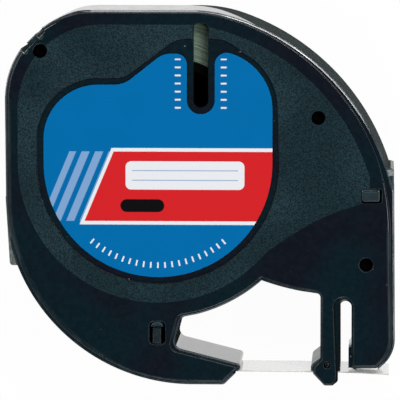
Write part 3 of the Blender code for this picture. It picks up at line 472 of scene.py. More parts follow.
class Graph:
    """Short words for building one material's nodes."""

    def __init__(self, name: str) -> None:
        """Make a material that holds only its shader and output."""
        self.material = bpy.data.materials.new(name)
        self.material.use_nodes = True
        self.tree = self.material.node_tree
        self.shader = self.tree.nodes["Principled BSDF"]

    def node(self, kind: str, inputs: Optional[dict] = None, **settings: object) -> bpy.types.Node:
        """Add a node, set its options and fill or link its inputs.

        Args:
            kind: Blender's name of the node type.
            inputs: values or sockets by input name or number.
            settings: options of the node.

        Returns:
            The new node.
        """
        made = self.tree.nodes.new(kind)
        for option, value in settings.items():
            setattr(made, option, value)
        for key, value in (inputs or {}).items():
            self.feed(made.inputs[key], value)
        return made

    def feed(self, socket: Socket, value: object) -> None:
        """Link a socket to another one, or set it to a plain value."""
        if isinstance(value, bpy.types.NodeSocket):
            self.tree.links.new(value, socket)
        elif socket.type == "RGBA":
            socket.default_value = (*value, 1.0)
        else:
            socket.default_value = value

    def set(self, **values: object) -> None:
        """Set or link the shader's inputs, with underscores for the spaces in their names."""
        for name, value in values.items():
            self.feed(self.shader.inputs[name.replace("_", " ")], value)

    def place(self) -> Socket:
        """Object coordinates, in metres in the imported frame."""
        return self.node("ShaderNodeTexCoord").outputs["Object"]

    def drawing(self) -> tuple[Socket, Socket, Socket]:
        """X, Y and Z in the case frame, in millimetres."""
        shift = (-SPOOL_AXIS[0], -SPOOL_AXIS[1], 0.0)
        moved = self.node("ShaderNodeMapping", {"Vector": self.place(), "Location": shift,
                                                "Scale": (1 / MM, 1 / MM, 1 / MM)})
        split = self.node("ShaderNodeSeparateXYZ", {"Vector": moved.outputs["Vector"]})
        return split.outputs["X"], split.outputs["Y"], split.outputs["Z"]

    def maths(self, operation: str, *values: object, clamp: bool = False) -> Socket:
        """Result of a mathematical step on sockets or numbers."""
        made = self.node("ShaderNodeMath", dict(enumerate(values)), operation=operation, use_clamp=clamp)
        return made.outputs["Value"]

    def total(self, *values: object) -> Socket:
        """Sum of two or more sockets."""
        result = values[0]
        for value in values[1:]:
            result = self.maths("ADD", result, value)
        return result

    def noise(self, grain: float, detail: float = 2.0, stretch: Sequence[float] = (1, 1, 1),
              roughness: float = 0.5) -> Socket:
        """Soft noise from 0 to 1.

        Args:
            grain: size of its blotches in millimetres.
            detail: number of finer layers.
            stretch: how much longer the blotches are along X, Y and Z.
            roughness: weight of the finer layers.

        Returns:
            The noise value.
        """
        scale = tuple(1 / (MM * grain * s) for s in stretch)
        moved = self.node("ShaderNodeMapping", {"Vector": self.place(), "Scale": scale})
        made = self.node("ShaderNodeTexNoise", {"Vector": moved.outputs["Vector"], "Scale": 1.0,
                                                "Detail": detail, "Roughness": roughness})
        return made.outputs["Fac"]

    def spread(self, value: Socket, low: float, high: float, to_low: float = 0.0, to_high: float = 1.0) -> Socket:
        """Value stretched softly from one range onto another and held within it."""
        made = self.node("ShaderNodeMapRange", {"Value": value, "From Min": low, "From Max": high,
                                                "To Min": to_low, "To Max": to_high},
                         interpolation_type="SMOOTHSTEP")
        return made.outputs["Result"]

    def mix(self, share: object, first: object, second: object) -> Socket:
        """Blend of two colours."""
        made = self.node("ShaderNodeMix", {"Factor": share}, data_type="RGBA")
        self.feed(made.inputs[6], first)
        self.feed(made.inputs[7], second)
        return made.outputs[2]

    def scaled(self, colour: Socket, factor: Socket) -> Socket:
        """Colour made darker or lighter by a factor."""
        made = self.node("ShaderNodeVectorMath", {0: colour, "Scale": factor}, operation="SCALE")
        return made.outputs["Vector"]

    def bump(self, height: Socket, depth: float, strength: float = 1.0, under: Optional[Socket] = None) -> Socket:
        """Normal of a surface with fine relief.

        Args:
            height: relief from 0 to 1.
            depth: its depth in millimetres.
            strength: how much of it shows.
            under: normal of a coarser relief below it.

        Returns:
            The new normal.
        """
        made = self.node("ShaderNodeBump", {"Height": height, "Distance": depth * MM, "Strength": strength})
        if under is not None:
            self.feed(made.inputs["Normal"], under)
        return made.outputs["Normal"]

    def rim_mask(self, low: float = 0.25, high: float = 0.93) -> Socket:
        """Share of a face that tilts between upright and level, which marks rounded edges."""
        up = self.node("ShaderNodeSeparateXYZ",
                       {"Vector": self.node("ShaderNodeNewGeometry").outputs["Normal"]}).outputs["Z"]
        tilt = self.maths("ABSOLUTE", up)
        rising = self.spread(tilt, low, low + 0.15)
        falling = self.spread(tilt, high, high + 0.06, 1.0, 0.0)
        return self.maths("MULTIPLY", rising, falling)


def tint(red: int, green: int, blue: int) -> Colour:
    """Linear colour from the three display values of a swatch, by the display curve."""
    share = np.array([red, green, blue]) / 255
    linear = np.where(share <= 0.04045, share / 12.92, ((share + 0.055) / 1.055) ** 2.4)
    return tuple(float(v) for v in linear)


class Finish:
    """A finish that makes its material once and then hands out the same one."""

    _made: dict[str, bpy.types.Material] = {}

    def material(self) -> bpy.types.Material:
        """The finish's material, built on first use."""
        key = repr(self)
        if key not in Finish._made:
            Finish._made[key] = self.build()
        return Finish._made[key]

    def build(self) -> bpy.types.Material:
        """Make the material."""
        raise NotImplementedError


@dataclass(frozen=True)
class MouldedPlastic(Finish):
    """Dark moulded plastic, from a polished tool face to a spark-eroded one."""

    name: str
    colour: Colour
    drift: Colour
    worn: Colour
    roughness: float
    grain: float
    relief: float
    speckle: float
    gloss: float
    wear: float = 0.2
    dust: float = 0.0
    cloud: float = 13.0

    def build(self) -> bpy.types.Material:
        """Speckled colour that drifts in broad clouds, uneven gloss, fine relief and rubbed edges.

        Returns:
            The material.
        """
        graph = Graph(self.name)
        fine = graph.noise(self.grain, 2.0, roughness=0.6)
        pits = graph.noise(self.grain * 1.7, 1.0)
        scuff = graph.noise(1.6, 4.0, (1, 5, 1), 0.7)
        tone = graph.mix(graph.spread(graph.noise(self.cloud, 1.0), 0.36, 0.64), self.colour, self.drift)
        sparks = graph.maths("MULTIPLY_ADD", pits, 0.6, graph.maths("MULTIPLY", fine, 0.4))
        grained = graph.scaled(tone, graph.spread(sparks, 0.4, 0.6, 1 - self.speckle, 1 + self.speckle))
        rubbed = graph.maths("MULTIPLY", graph.rim_mask(), graph.spread(scuff, 0.42, 0.68, 0.0, self.wear))
        rough = graph.spread(scuff, 0.3, 0.75, self.roughness - 0.03, self.roughness + 0.05)
        specks = graph.spread(graph.noise(0.8, 0.0), 0.855, 0.87, 0.0, self.dust)
        dusty = graph.mix(specks, graph.mix(rubbed, grained, self.worn), tint(150, 158, 160))
        graph.set(Base_Color=dusty, Roughness=rough,
                  Specular_IOR_Level=self.gloss, Normal=graph.bump(sparks, self.relief))
        return graph.material


@dataclass(frozen=True)
class PrintedLabel(Finish):
    """Varnished sticker: a blue field, a red band with white rules, slanted bars and tick scales."""

    name: str = "printed_label"
    field_colour: Colour = tint(0, 111, 176)
    band_colour: Colour = tint(219, 37, 42)
    accent_colour: Colour = tint(132, 170, 214)
    white: Colour = tint(240, 242, 246)
    ink: Colour = tint(14, 14, 18)
    band_low: float = -9.0
    band_high: float = 1.8
    band_lean: float = 0.42
    band_left: float = -7.6
    rule: float = 0.55
    bar_pitch: float = 2.1
    bar_width: float = 1.25
    bar_count: int = 3
    edge: float = 0.05
    tick_radius: float = 16.3
    tick_pitch: float = 4.0
    tick_width: float = 0.26
    tick_length: float = 0.9
    gauge_x: float = 6.64
    gauge_reach: float = 3.1
    gauge_pitch: float = 1.25
    gauge_low: float = 8.6
    gauge_high: float = 16.2
    panel_middle: tuple[float, float] = (4.2, -1.9)
    panel_half: tuple[float, float] = (9.2, 2.2)
    panel_corner: float = 0.9
    panel_line: float = 1.5
    swatch_middle: tuple[float, float] = (-2.4, -6.6)
    swatch_half: tuple[float, float] = (3.4, 1.0)

    def rounded_box(self, graph: Graph, x: Socket, y: Socket, middle: Sequence[float], half: Sequence[float],
                    corner: float) -> Socket:
        """One inside a rectangle with rounded corners, from the distance to its edge.

        Args:
            graph: nodes of the material.
            x: place along X.
            y: place along Y.
            middle: middle of the rectangle.
            half: half of its width and of its height.
            corner: radius of its corners.

        Returns:
            The mask, with soft edges.
        """
        out = []
        for value, centre, reach in zip((x, y), middle, half):
            away = graph.maths("ABSOLUTE", graph.maths("SUBTRACT", value, centre))
            out.append(graph.maths("MAXIMUM", graph.maths("SUBTRACT", away, reach - corner), 0.0))
        squares = [graph.maths("MULTIPLY", value, value) for value in out]
        distance = graph.maths("SQRT", graph.total(*squares))
        return graph.spread(distance, corner - self.edge, corner + self.edge, 1.0, 0.0)

    def inside(self, graph: Graph, value: Socket, low: float, high: float) -> Socket:
        """One between two limits of a value and zero outside them, with soft edges."""
        above = graph.spread(value, low - self.edge, low + self.edge)
        below = graph.spread(value, high - self.edge, high + self.edge, 1.0, 0.0)
        return graph.maths("MULTIPLY", above, below)

    def repeats(self, graph: Graph, value: Socket, pitch: float, width: float) -> Socket:
        """Stripes of a width at every pitch of a value."""
        phase = graph.maths("PINGPONG", value, pitch / 2)
        return graph.spread(phase, width / 2 - self.edge, width / 2 + self.edge, 1.0, 0.0)

    def build(self) -> bpy.types.Material:
        """Print the layers over each other, then varnish them.

        Returns:
            The material.
        """
        graph = Graph(self.name)
        x, y, _ = graph.drawing()
        slant = graph.maths("MULTIPLY_ADD", y, -self.band_lean, x)
        fibre = graph.noise(0.35, 3.0)
        mottle = graph.noise(5.0, 2.0)
        blue = graph.mix(graph.spread(mottle, 0.35, 0.7, 0.0, 0.16), self.field_colour,
                         tuple(c * 0.86 for c in self.field_colour))
        height = self.inside(graph, y, self.band_low, self.band_high)
        ruled = self.inside(graph, y, self.band_low - self.rule, self.band_high + self.rule)
        band_end = graph.spread(slant, self.band_left - self.edge, self.band_left + self.edge)
        rule_end = graph.spread(slant, self.band_left - self.rule - self.edge, self.band_left - self.rule + self.edge)
        paper = graph.mix(graph.maths("MULTIPLY", ruled, rule_end), blue, self.white)
        paper = graph.mix(graph.maths("MULTIPLY", height, band_end), paper, self.band_colour)
        first = self.band_left - self.rule - self.bar_count * self.bar_pitch
        bars = self.repeats(graph, graph.maths("SUBTRACT", slant, first + self.bar_pitch / 2 - self.bar_width / 2),
                            self.bar_pitch, self.bar_width)
        bars = graph.maths("MULTIPLY", bars, self.inside(graph, slant, first, self.band_left - self.rule))
        paper = graph.mix(graph.maths("MULTIPLY", bars, height), paper, self.accent_colour)
        panel = self.rounded_box(graph, x, y, self.panel_middle, self.panel_half, self.panel_corner)
        paper = graph.mix(panel, paper, self.white)
        lines = self.repeats(graph, graph.maths("SUBTRACT", y, self.panel_middle[1] - self.panel_line / 2),
                             self.panel_line, self.tick_width / 2)
        inner = self.rounded_box(graph, x, y, self.panel_middle, (self.panel_half[0] - 1.0, self.panel_half[1] - 1.0), 0.1)
        paper = graph.mix(graph.maths("MULTIPLY", lines, inner), paper, self.accent_colour)
        swatch = self.rounded_box(graph, x, y, self.swatch_middle, self.swatch_half, self.swatch_half[1])
        paper = graph.mix(swatch, paper, self.ink)
        radius = graph.maths("SQRT", graph.total(graph.maths("MULTIPLY", x, x), graph.maths("MULTIPLY", y, y)))
        angle = graph.maths("DEGREES", graph.maths("ARCTAN2", x, graph.maths("MULTIPLY", y, -1.0)))
        step = math.degrees(self.tick_width / self.tick_radius)
        ticks = self.repeats(graph, angle, self.tick_pitch, step)
        ticks = graph.maths("MULTIPLY", ticks, self.inside(graph, radius, self.tick_radius - self.tick_length,
                                                           self.tick_radius))
        ticks = graph.maths("MULTIPLY", ticks, graph.spread(graph.maths("ABSOLUTE", angle), 42.0, 42.4, 1.0, 0.0))
        paper = graph.mix(ticks, paper, self.white)
        beside = graph.maths("ABSOLUTE", graph.maths("SUBTRACT", x, self.gauge_x))
        gauge = self.repeats(graph, graph.maths("SUBTRACT", y, self.gauge_low), self.gauge_pitch, self.tick_width)
        gauge = graph.maths("MULTIPLY", gauge, self.inside(graph, beside, self.gauge_reach,
                                                           self.gauge_reach + self.tick_length))
        gauge = graph.maths("MULTIPLY", gauge, self.inside(graph, y, self.gauge_low - 0.2, self.gauge_high))
        paper = graph.mix(gauge, paper, self.white)
        graph.set(Base_Color=paper, Roughness=graph.spread(fibre, 0.2, 0.8, 0.3, 0.42),
                  Specular_IOR_Level=0.12, Normal=graph.bump(fibre, 0.008))
        return graph.material


@dataclass(frozen=True)
class WoundEdges(Finish):
    """The side of a wound roll: hundreds of cut tape edges with uneven tension marks."""

    name: str = "wound_edges"
    pale: Colour = tint(150, 167, 152)
    dull: Colour = tint(97, 115, 97)
    shadow: Colour = tint(40, 88, 78)
    layer: float = 0.178

    def build(self) -> bpy.types.Material:
        """Rings by distance from the axis, broken up along the turn.

        Returns:
            The material.
        """
        graph = Graph(self.name)
        x, y, _ = graph.drawing()
        radius = graph.maths("SQRT", graph.total(graph.maths("MULTIPLY", x, x), graph.maths("MULTIPLY", y, y)))
        wander = graph.noise(2.4, 3.0)
        wound = graph.maths("MULTIPLY_ADD", wander, 0.5, radius)
        coarse = graph.node("ShaderNodeTexNoise", {"W": graph.maths("MULTIPLY", wound, 1.9), "Detail": 3.0,
                                                   "Scale": 1.0}, noise_dimensions="1D").outputs["Fac"]
        fine = graph.maths("PINGPONG", wound, self.layer * 1.5)
        streak = graph.spread(coarse, 0.36, 0.66)
        bands = graph.mix(streak, self.shadow, self.pale)
        ringed = graph.mix(graph.spread(fine, 0.02, 0.24, 0.0, 0.55), self.dull, bands)
        graph.set(Base_Color=ringed, Roughness=graph.spread(wander, 0.3, 0.7, 0.5, 0.66),
                  Normal=graph.bump(fine, 0.03, 0.6))
        return graph.material


@dataclass(frozen=True)
class TapeSheet(Finish):
    """Thin coated tape with a slight tint, fine drawing lines and soft handling marks."""

    name: str
    colour: Colour
    shade: Colour
    roughness: float
    coat: float = 0.0

    def build(self) -> bpy.types.Material:
        """Lines along the tape over a cloudy tint, under a clear coat.

        Returns:
            The material.
        """
        graph = Graph(self.name)
        lines = graph.noise(0.4, 3.0, (40, 40, 1))
        cloud = graph.noise(4.0, 2.0)
        drawn = graph.mix(graph.spread(lines, 0.35, 0.65, 0.0, 0.35), self.colour, self.shade)
        graph.set(Base_Color=graph.mix(graph.spread(cloud, 0.4, 0.7, 0.0, 0.3), drawn, self.shade),
                  Roughness=graph.spread(lines, 0.2, 0.8, self.roughness - 0.05, self.roughness + 0.06),
                  Coat_Weight=self.coat, Coat_Roughness=self.roughness, Normal=graph.bump(lines, 0.004))
        return graph.material


@dataclass(frozen=True)
class WorkedSteel(Finish):
    """Ground or rolled steel with lines along the work."""

    name: str
    colour: Colour = (0.55, 0.55, 0.56)
    stretch: tuple[float, float, float] = (1.0, 1.0, 30.0)

    def build(self) -> bpy.types.Material:
        """Fine lines in colour and gloss.

        Returns:
            The material.
        """
        graph = Graph(self.name)
        lines = graph.noise(0.06, 3.0, self.stretch)
        stain = graph.noise(1.2, 3.0)
        darker = tuple(c * 0.7 for c in self.colour)
        graph.set(Base_Color=graph.mix(graph.spread(stain, 0.4, 0.75, 0.0, 0.5), self.colour, darker), Metallic=1.0,
                  Roughness=graph.spread(lines, 0.2, 0.8, 0.22, 0.42), Normal=graph.bump(lines, 0.004))
        return graph.material


@dataclass(frozen=True)
class PressedFelt(Finish):
    """Pressed felt with a fuzzy, blotchy surface."""

    name: str = "pressed_felt"
    colour: Colour = tint(166, 160, 148)
    shade: Colour = tint(112, 108, 100)

    def build(self) -> bpy.types.Material:
        """Fibres in colour and relief, with a soft sheen.

        Returns:
            The material.
        """
        graph = Graph(self.name)
        fibre = graph.noise(0.09, 5.0, roughness=0.75)
        graph.set(Base_Color=graph.mix(graph.spread(fibre, 0.35, 0.65), self.shade, self.colour), Roughness=0.95,
                  Sheen_Weight=0.4, Normal=graph.bump(fibre, 0.05))
        return graph.material


@dataclass(frozen=True)
class BearingPlastic(Finish):
    """Pale bearing plastic of the guide rollers, with turning marks."""

    name: str = "bearing_plastic"
    colour: Colour = tint(226, 224, 214)
    shade: Colour = tint(196, 192, 180)

    def build(self) -> bpy.types.Material:
        """Faint rings along the roller.

        Returns:
            The material.
        """
        graph = Graph(self.name)
        rings = graph.noise(0.25, 2.0, (30, 30, 1))
        graph.set(Base_Color=graph.mix(graph.spread(rings, 0.35, 0.65, 0.0, 0.6), self.colour, self.shade),
                  Roughness=graph.spread(rings, 0.2, 0.8, 0.3, 0.42), Normal=graph.bump(rings, 0.006))
        return graph.material


MATTE = MouldedPlastic("spark_textured_plastic", tint(20, 41, 47), tint(30, 51, 58), tint(70, 86, 90),
                       0.68, 0.1, 0.015, 0.6, 0.1, 0.1)
POLISHED = MouldedPlastic("polished_plastic", tint(20, 25, 34), tint(15, 32, 39), tint(64, 76, 82),
                          0.12, 0.5, 0.0004, 0.1, 0.45, dust=0.5)
# Satin plastic: rougher, with a colour lighter than the polished plastic's, partly painted light on the small parts
# that catch the lamps.
SATIN_LIGHT = MouldedPlastic("satin_painted_light_plastic", tint(34, 49, 56), tint(32, 51, 57), tint(88, 102, 108),
                       0.32, 0.4, 0.003, 0.15, 0.4, 0.4)
RIM = MouldedPlastic("softened_rim_plastic", tint(22, 34, 42), tint(21, 36, 42), tint(70, 84, 90),
                     0.34, 0.4, 0.003, 0.15, 0.26, 0.4)
WALL = MouldedPlastic("textured_wall_plastic", tint(33, 46, 47), tint(38, 51, 50), tint(80, 94, 94),
                      0.8, 0.16, 0.02, 0.45, 0.08, 0.1)
# Lip: lighter, very glossy colour, a painted highlight along the lip's bevel.
LIP_HIGHLIGHT = MouldedPlastic("painted_highlight_lip_plastic", tint(52, 62, 66), tint(58, 68, 72), tint(110, 120, 124),
                     0.14, 0.4, 0.0004, 0.1, 1.0, 0.4)
# Left ear: light grey, a painted reflection of the bright surroundings on its wall, with rubbed edges.
EAR_LIGHT = MouldedPlastic("painted_light_ear_plastic", tint(90, 98, 98), tint(100, 107, 105), tint(126, 132, 132),
                     0.5, 0.2, 0.006, 0.3, 0.2, 0.5)
# Right ear's end: pale colour, painted light on the lit upper end of the ear.
TIP_LIGHT = MouldedPlastic("painted_light_tip_plastic", tint(128, 135, 135), tint(136, 142, 141), tint(158, 164, 164),
                            0.45, 0.2, 0.006, 0.3, 0.3, 0.5)
# Lower snap: colour lighter than the plastic's, painted light to offset the shade of its recess.
SNAP_LIGHT = MouldedPlastic("painted_light_snap_plastic", tint(54, 78, 86), tint(52, 80, 88), tint(104, 120, 126),
                      0.32, 0.4, 0.003, 0.15, 0.4, 0.4)
# Hollows and inner faces: near-black colour, painted shade.
INNER_SHADE = MouldedPlastic("painted_shade_inner_plastic", tint(6, 9, 11), tint(8, 11, 13), tint(20, 24, 26),
                       0.5, 0.4, 0.004, 0.15, 0.2)
# Bay walls that face right: dark colour, painted shade where they mirror the shadowed floor.
PAINTED_SHADE = MouldedPlastic("painted_shade_wall_plastic", tint(14, 18, 20), tint(18, 23, 24), tint(30, 36, 38),
                       0.9, 0.2, 0.01, 0.3, 0.02, 0.1)
# Holes, pins and the tape core: near-black, painted shade of deep holes; the core is black plastic as well.
DEEP_SHADE = MouldedPlastic("painted_shade_black_plastic", tint(2, 2, 3), tint(3, 3, 4), tint(8, 9, 10),
                      0.8, 0.4, 0.004, 0.15, 0.04)
STEEL_PIN = WorkedSteel("blued_steel", (0.045, 0.052, 0.06))
STEEL_STRIP = WorkedSteel("rolled_steel_strip", stretch=(20.0, 20.0, 1.0))
FELT = PressedFelt()
BEARING = BearingPlastic()
FILM = TapeSheet("tape_film", tint(255, 254, 246), tint(251, 249, 240), 0.1, 1.0)
LINER = TapeSheet("tape_liner", tint(232, 227, 214), tint(206, 199, 184), 0.5)


@dataclass
class CaseForm:
    """Outlines and heights that both case halves share."""

    top_corner: float = 13.6
    lower_arc: float = 28.84
    lower_drop: float = 5.35
    lower_inset: float = 0.12
    upper_arc: float = 35.73
    upper_crown: float = 0.77
    upper_blend: float = 20.0
    rear_growth: float = 0.82
    cover_inset: float = 0.15
    rear_drop: float = 0.69
    rear_step: float = 0.3
    bay_draw: float = 0.15
    flush_angle: float = 150.0
    flush_half: float = 35.0
    flush_fade: float = 15.0
    right_half: float = 5.0
    right_share: float = 0.45
    right_fade: float = 12.0
    edge_near: float = 19.5
    edge_far: float = 24.0
    edge_share: float = 0.5
    crown_share: float = 0.3
    crown_start: float = 20.0
    crown_end: float = 100.0
    crown_fade: float = 20.0
    wall_lean: float = 0.28
    lean_end: float = 75.0
    bay_middle: tuple[float, float] = (14.0, -27.0)
    chamber_gap: float = 0.35
    bay_wall: float = 1.35
    side_wall: float = 1.1
    left_wall: float = 0.95
    cusp_angle: float = -48.1
    underside_drop: float = 2.2
    underside_bow: float = 0.3
    bay_left: float = 2.0
    tongue_reach: float = 10.75
    tongue_angle: float = -14.2
    tongue_rise: float = 2.62
    tongue_back: float = 2.65
    tongue_tip: float = 0.3
    leg_width: float = 6.43
    leg_clearance: float = 2.41
    leg_corner: float = 5.1
    leg_sweep: float = 52.0
    slot_width: float = 2.48
    slot_drop: float = 2.09
    arm_width: float = 2.34
    nose_reach: float = 1.15
    nose_shoulder: float = 0.95
    nose_rise: float = 1.15
    nose_side: float = 1.22
    nose_drop: float = 0.3
    nose_over: float = 0.12
    nose_flare: float = 0.4
    nose_heel: float = 1.78
    nose_toe: float = 0.85
    nose_cheek: float = 0.68
    nose_height: float = 2.1
    nose_rear_rise: float = 0.0
    arm_spread: float = 0.36
    small: float = 0.52
    medium: float = 0.95
    large: float = 0.95
    bay_round: float = 1.55
    corner_room: float = 2.6
    roller_room: float = 0.15
    channel: float = 0.42
    mouth_radius: float = 0.6
    mouth_inset: float = 1.4
    mouth_rise: float = 1.61
    upright: float = 0.3
    slot_shade: float = 0.99
    shade_turn: float = 0.7
    floor: float = 1.4
    plate: float = 1.6
    flange: float = 1.9
    cover_low: Array = field(init=False)
    cover_high: Array = field(init=False)

    def __post_init__(self) -> None:
        """Read the cover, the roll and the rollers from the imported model."""
        self.cover_low, self.cover_high = node_box("front_cover")
        self.left, self.seam = self.cover_low[0], self.cover_low[2]
        self.right, self.top, self.depth = self.cover_high
        self.bottom = self.cover_low[1] + self.nose_drop
        self.shell_top = node_box("rear_shell")[1][2]
        self.roll = node_box("tape_roll")[1][0]
        self.tape_back, self.tape_front = node_box("lead_film")[0][2], node_box("lead_film")[1][2]
        self.roller = (node_box("arm_roller")[1][0] - node_box("arm_roller")[0][0]) / 2
        self.arm_pin = self.middle("arm_roller")
        self.root_pin = self.middle("root_roller")
        self.chamber = self.roll + self.chamber_gap
        self.bay = self.chamber + self.bay_wall
        self.ceiling = self.depth - self.plate
        self.leg_left = self.right - self.leg_width
        self.leg_bottom = self.bottom + self.leg_clearance
        self.arm_right = self.leg_left - self.slot_width
        self.arm_left = self.arm_right - self.arm_width
        self.cusp = polar(self.bay, self.cusp_angle)
        self.underside_end = np.array([self.arm_left, self.cusp[1] - self.underside_drop])
        self.tongue_end = np.array([self.bay_left + self.tongue_reach, self.bottom + self.tongue_rise])
        self.tongue_way = polar(1.0, self.tongue_angle)
        self.wall_way = np.array([-self.tongue_way[1], self.tongue_way[0]])
        self.bay_corner = self.tongue_end - self.tongue_way * (self.tongue_reach / self.tongue_way[0])
        self.lower_centre = np.array([self.left + self.lower_inset + self.lower_arc, -self.lower_drop])
        self.upper_centre = np.array([self.right - self.upper_arc, self.top + self.upper_crown - self.upper_arc])

    @staticmethod
    def middle(node: str) -> Array:
        """Middle of a CAD node, seen from the front."""
        low, high = node_box(node)
        return (low[:2] + high[:2]) / 2

    def chamber_hit(self, point: Array, way: Array, radius: float) -> Array:
        """First place where a line from a point meets a circle about the spool axis."""
        along = point @ way
        return point + way * (-along - math.sqrt(along ** 2 - point @ point + radius ** 2))

    def upper_run(self, centre: Array, radius: float) -> Array:
        """The big upper right arc and the softer arc that leads it into the flat top.

        Args:
            centre: middle of the big arc.
            radius: its radius.

        Returns:
            Points from the right side to the flat top.
        """
        start = math.degrees(math.acos(min(1.0, (self.right - centre[0]) / radius)))
        rise = self.top - self.upper_blend - centre[1]
        run = math.sqrt((radius - self.upper_blend) ** 2 - rise ** 2)
        meeting = math.degrees(math.atan2(rise, run))
        blend_centre = (centre[0] + run, self.top - self.upper_blend)
        return np.concatenate([arc(centre, radius, start, meeting),
                               arc(blend_centre, self.upper_blend, meeting, 90.0)[1:]])

    def outline(self, is_rear: bool) -> Array:
        """Outline of a case half, anticlockwise from the left side.

        Args:
            is_rear: true for the rear shell before its step, false for the front cover.

        Returns:
            Points of the outline.
        """
        step = self.rear_step if is_rear else 0.0
        rise = self.nose_rear_rise if is_rear else 0.0
        big_centre = self.upper_centre - np.array([0.0, self.rear_drop if is_rear else 0.0])
        big_radius = self.upper_arc + (self.rear_growth if is_rear else -self.cover_inset)
        draw = self.bay_draw if is_rear else 0.0
        bay_top = self.chamber_hit(self.bay_corner, self.wall_way, self.bay - draw)
        bay_angle = math.degrees(math.atan2(bay_top[1], bay_top[0]))
        bay_run = arc((0, 0), self.bay - draw, bay_angle, self.cusp_angle)[1:-1]
        cusp = polar(self.bay - draw, self.cusp_angle)
        arm_left, leg_left = self.arm_left + step, self.leg_left + step
        arm_right = self.arm_right + (self.arm_spread if is_rear else 0.0)
        underside_end = np.array([arm_left, self.underside_end[1] + draw])
        underside = bowed(cusp, underside_end, self.underside_bow)[1:-1]
        shoulder = self.arm_pin[1] + self.nose_shoulder + rise
        nose_left = self.arm_left - self.nose_reach
        nose_right = self.arm_right + self.nose_flare
        nose_low = self.bottom - self.nose_drop - (0.0 if is_rear else self.nose_over)
        slot = (leg_left - arm_right) / 2
        slot_centre = (arm_right + slot, self.underside_end[1] - self.slot_drop)
        sweep = math.radians(self.leg_sweep)
        heel = (self.right - self.leg_corner, self.leg_bottom + self.leg_corner * math.sin(sweep) + self.small)
        heel_run = arc(heel, self.leg_corner, -self.leg_sweep, 0.0)
        corner_centre = (self.left + self.top_corner, self.top - self.top_corner)
        trace = Trace().run(arc(self.lower_centre, self.lower_arc, 180.0, 270.0))
        trace.corner((self.tongue_end[0] - self.tongue_back, self.bottom), self.small)
        bay_round = self.bay_round if is_rear else self.large
        trace.corner(self.tongue_end, self.tongue_tip if is_rear else 0.0).corner(self.bay_corner, bay_round)
        trace.corner(bay_top, bay_round).run(self.clear_of(bay_run, bay_top)).corner(cusp)
        trace.run(self.clear_of(underside, underside_end)).corner(underside_end, self.medium)
        trace.corner((arm_left, shoulder), self.small)
        trace.corner((nose_left, shoulder - self.nose_rise), self.small)
        trace.corner((nose_left, shoulder - rise - self.nose_rise - self.nose_side), self.small)
        trace.corner((nose_left + self.nose_heel, nose_low), self.small)
        trace.corner((nose_right - self.nose_toe, nose_low), self.small)
        trace.corner((nose_right, nose_low + self.nose_cheek), self.small)
        trace.corner((nose_right, nose_low + self.nose_height), self.small)
        trace.run(arc(slot_centre, slot, 180.0, 0.0))
        trace.corner((leg_left, self.leg_bottom), self.small)
        trace.corner((heel_run[0][0] - self.small, self.leg_bottom), self.small).run(heel_run)
        trace.run(self.upper_run(big_centre, big_radius))
        return trace.run(arc(corner_centre, self.top_corner, 90.0, 180.0)).outline()

    def clear_of(self, run: Array, corner: Array) -> Array:
        """The points of a run that leave room for the round of a corner."""
        return run[np.linalg.norm(run - corner, axis=1) > self.corner_room]

    def rear_outline(self) -> Array:
        """Outline of the rear shell: fuller at the upper right and a small step larger.

        Each point moves out by the step times a share, which falls to nothing on the left side,
        where the outline faces the upper left, and to a part of the step where it faces right.
        """
        outline = self.outline(True)
        away = mitres(outline)
        facing = self.facing(outline)
        turn = np.abs((facing - self.flush_angle + 180) % 360 - 180)
        left = np.clip((turn - self.flush_half) / self.flush_fade, 0.0, 1.0)
        right = 1 - np.clip((np.abs(facing) - self.right_half) / self.right_fade, 0.0, 1.0)
        above = np.clip((outline[:, 1] - self.leg_bottom) / self.leg_corner - 1, 0.0, 1.0)
        right = 1 - (1 - self.right_share) * right * above
        share = np.where(outline[:, 0] < self.bay_left, left, 1.0)
        share = np.where(outline[:, 0] > self.leg_left + self.large, right, share)
        return outline + away * (self.rear_step * share)[:, None]

    def facing(self, outline: Array) -> Array:
        """Direction, in degrees from the right, that each outline point faces."""
        away = mitres(outline)
        return np.degrees(np.arctan2(away[:, 1], away[:, 0]))

    def edge_shares(self, outline: Array) -> Array:
        """Share of the full edge round for each outline point.

        The round is smaller near the print head bay, and smallest along the upper right and the
        top, where it fades in and out with the direction that the outline faces.
        """
        away = np.linalg.norm(outline - np.array(self.bay_middle), axis=1)
        reach = np.clip((away - self.edge_near) / (self.edge_far - self.edge_near), 0.0, 1.0)
        near_bay = self.edge_share + (1 - self.edge_share) * reach
        facing = self.facing(outline)
        outside = np.maximum(self.crown_start - facing, facing - self.crown_end) / self.crown_fade
        crown = self.crown_share + (1 - self.crown_share) * np.clip(outside, 0.0, 1.0)
        return np.where(outline[:, 1] > self.upper_centre[1], crown, near_bay)

    def rear_lean(self, outline: Array) -> Array:
        """How far the rear wall leans in towards its lip: only along the big upper right arc."""
        facing = self.facing(outline)
        inside = np.minimum(facing, self.lean_end + self.crown_fade - facing) / self.crown_fade
        is_upper = outline[:, 1] > self.upper_centre[1]
        return -self.wall_lean * np.clip(inside, 0.0, 1.0) * is_upper

    def wall_faces(self, mesh: bpy.types.Mesh) -> tuple[Array, Array, Array]:
        """Which faces stand upright, with every face's middle in the case frame and its normal."""
        count = len(mesh.polygons)
        middles, normals = np.empty(count * 3), np.empty(count * 3)
        mesh.polygons.foreach_get("center", middles)
        mesh.polygons.foreach_get("normal", normals)
        places = middles.reshape(-1, 3) / MM - np.array([*SPOOL_AXIS, 0.0])
        normals = normals.reshape(-1, 3)
        return np.abs(normals[:, 2]) < self.upright, places, normals

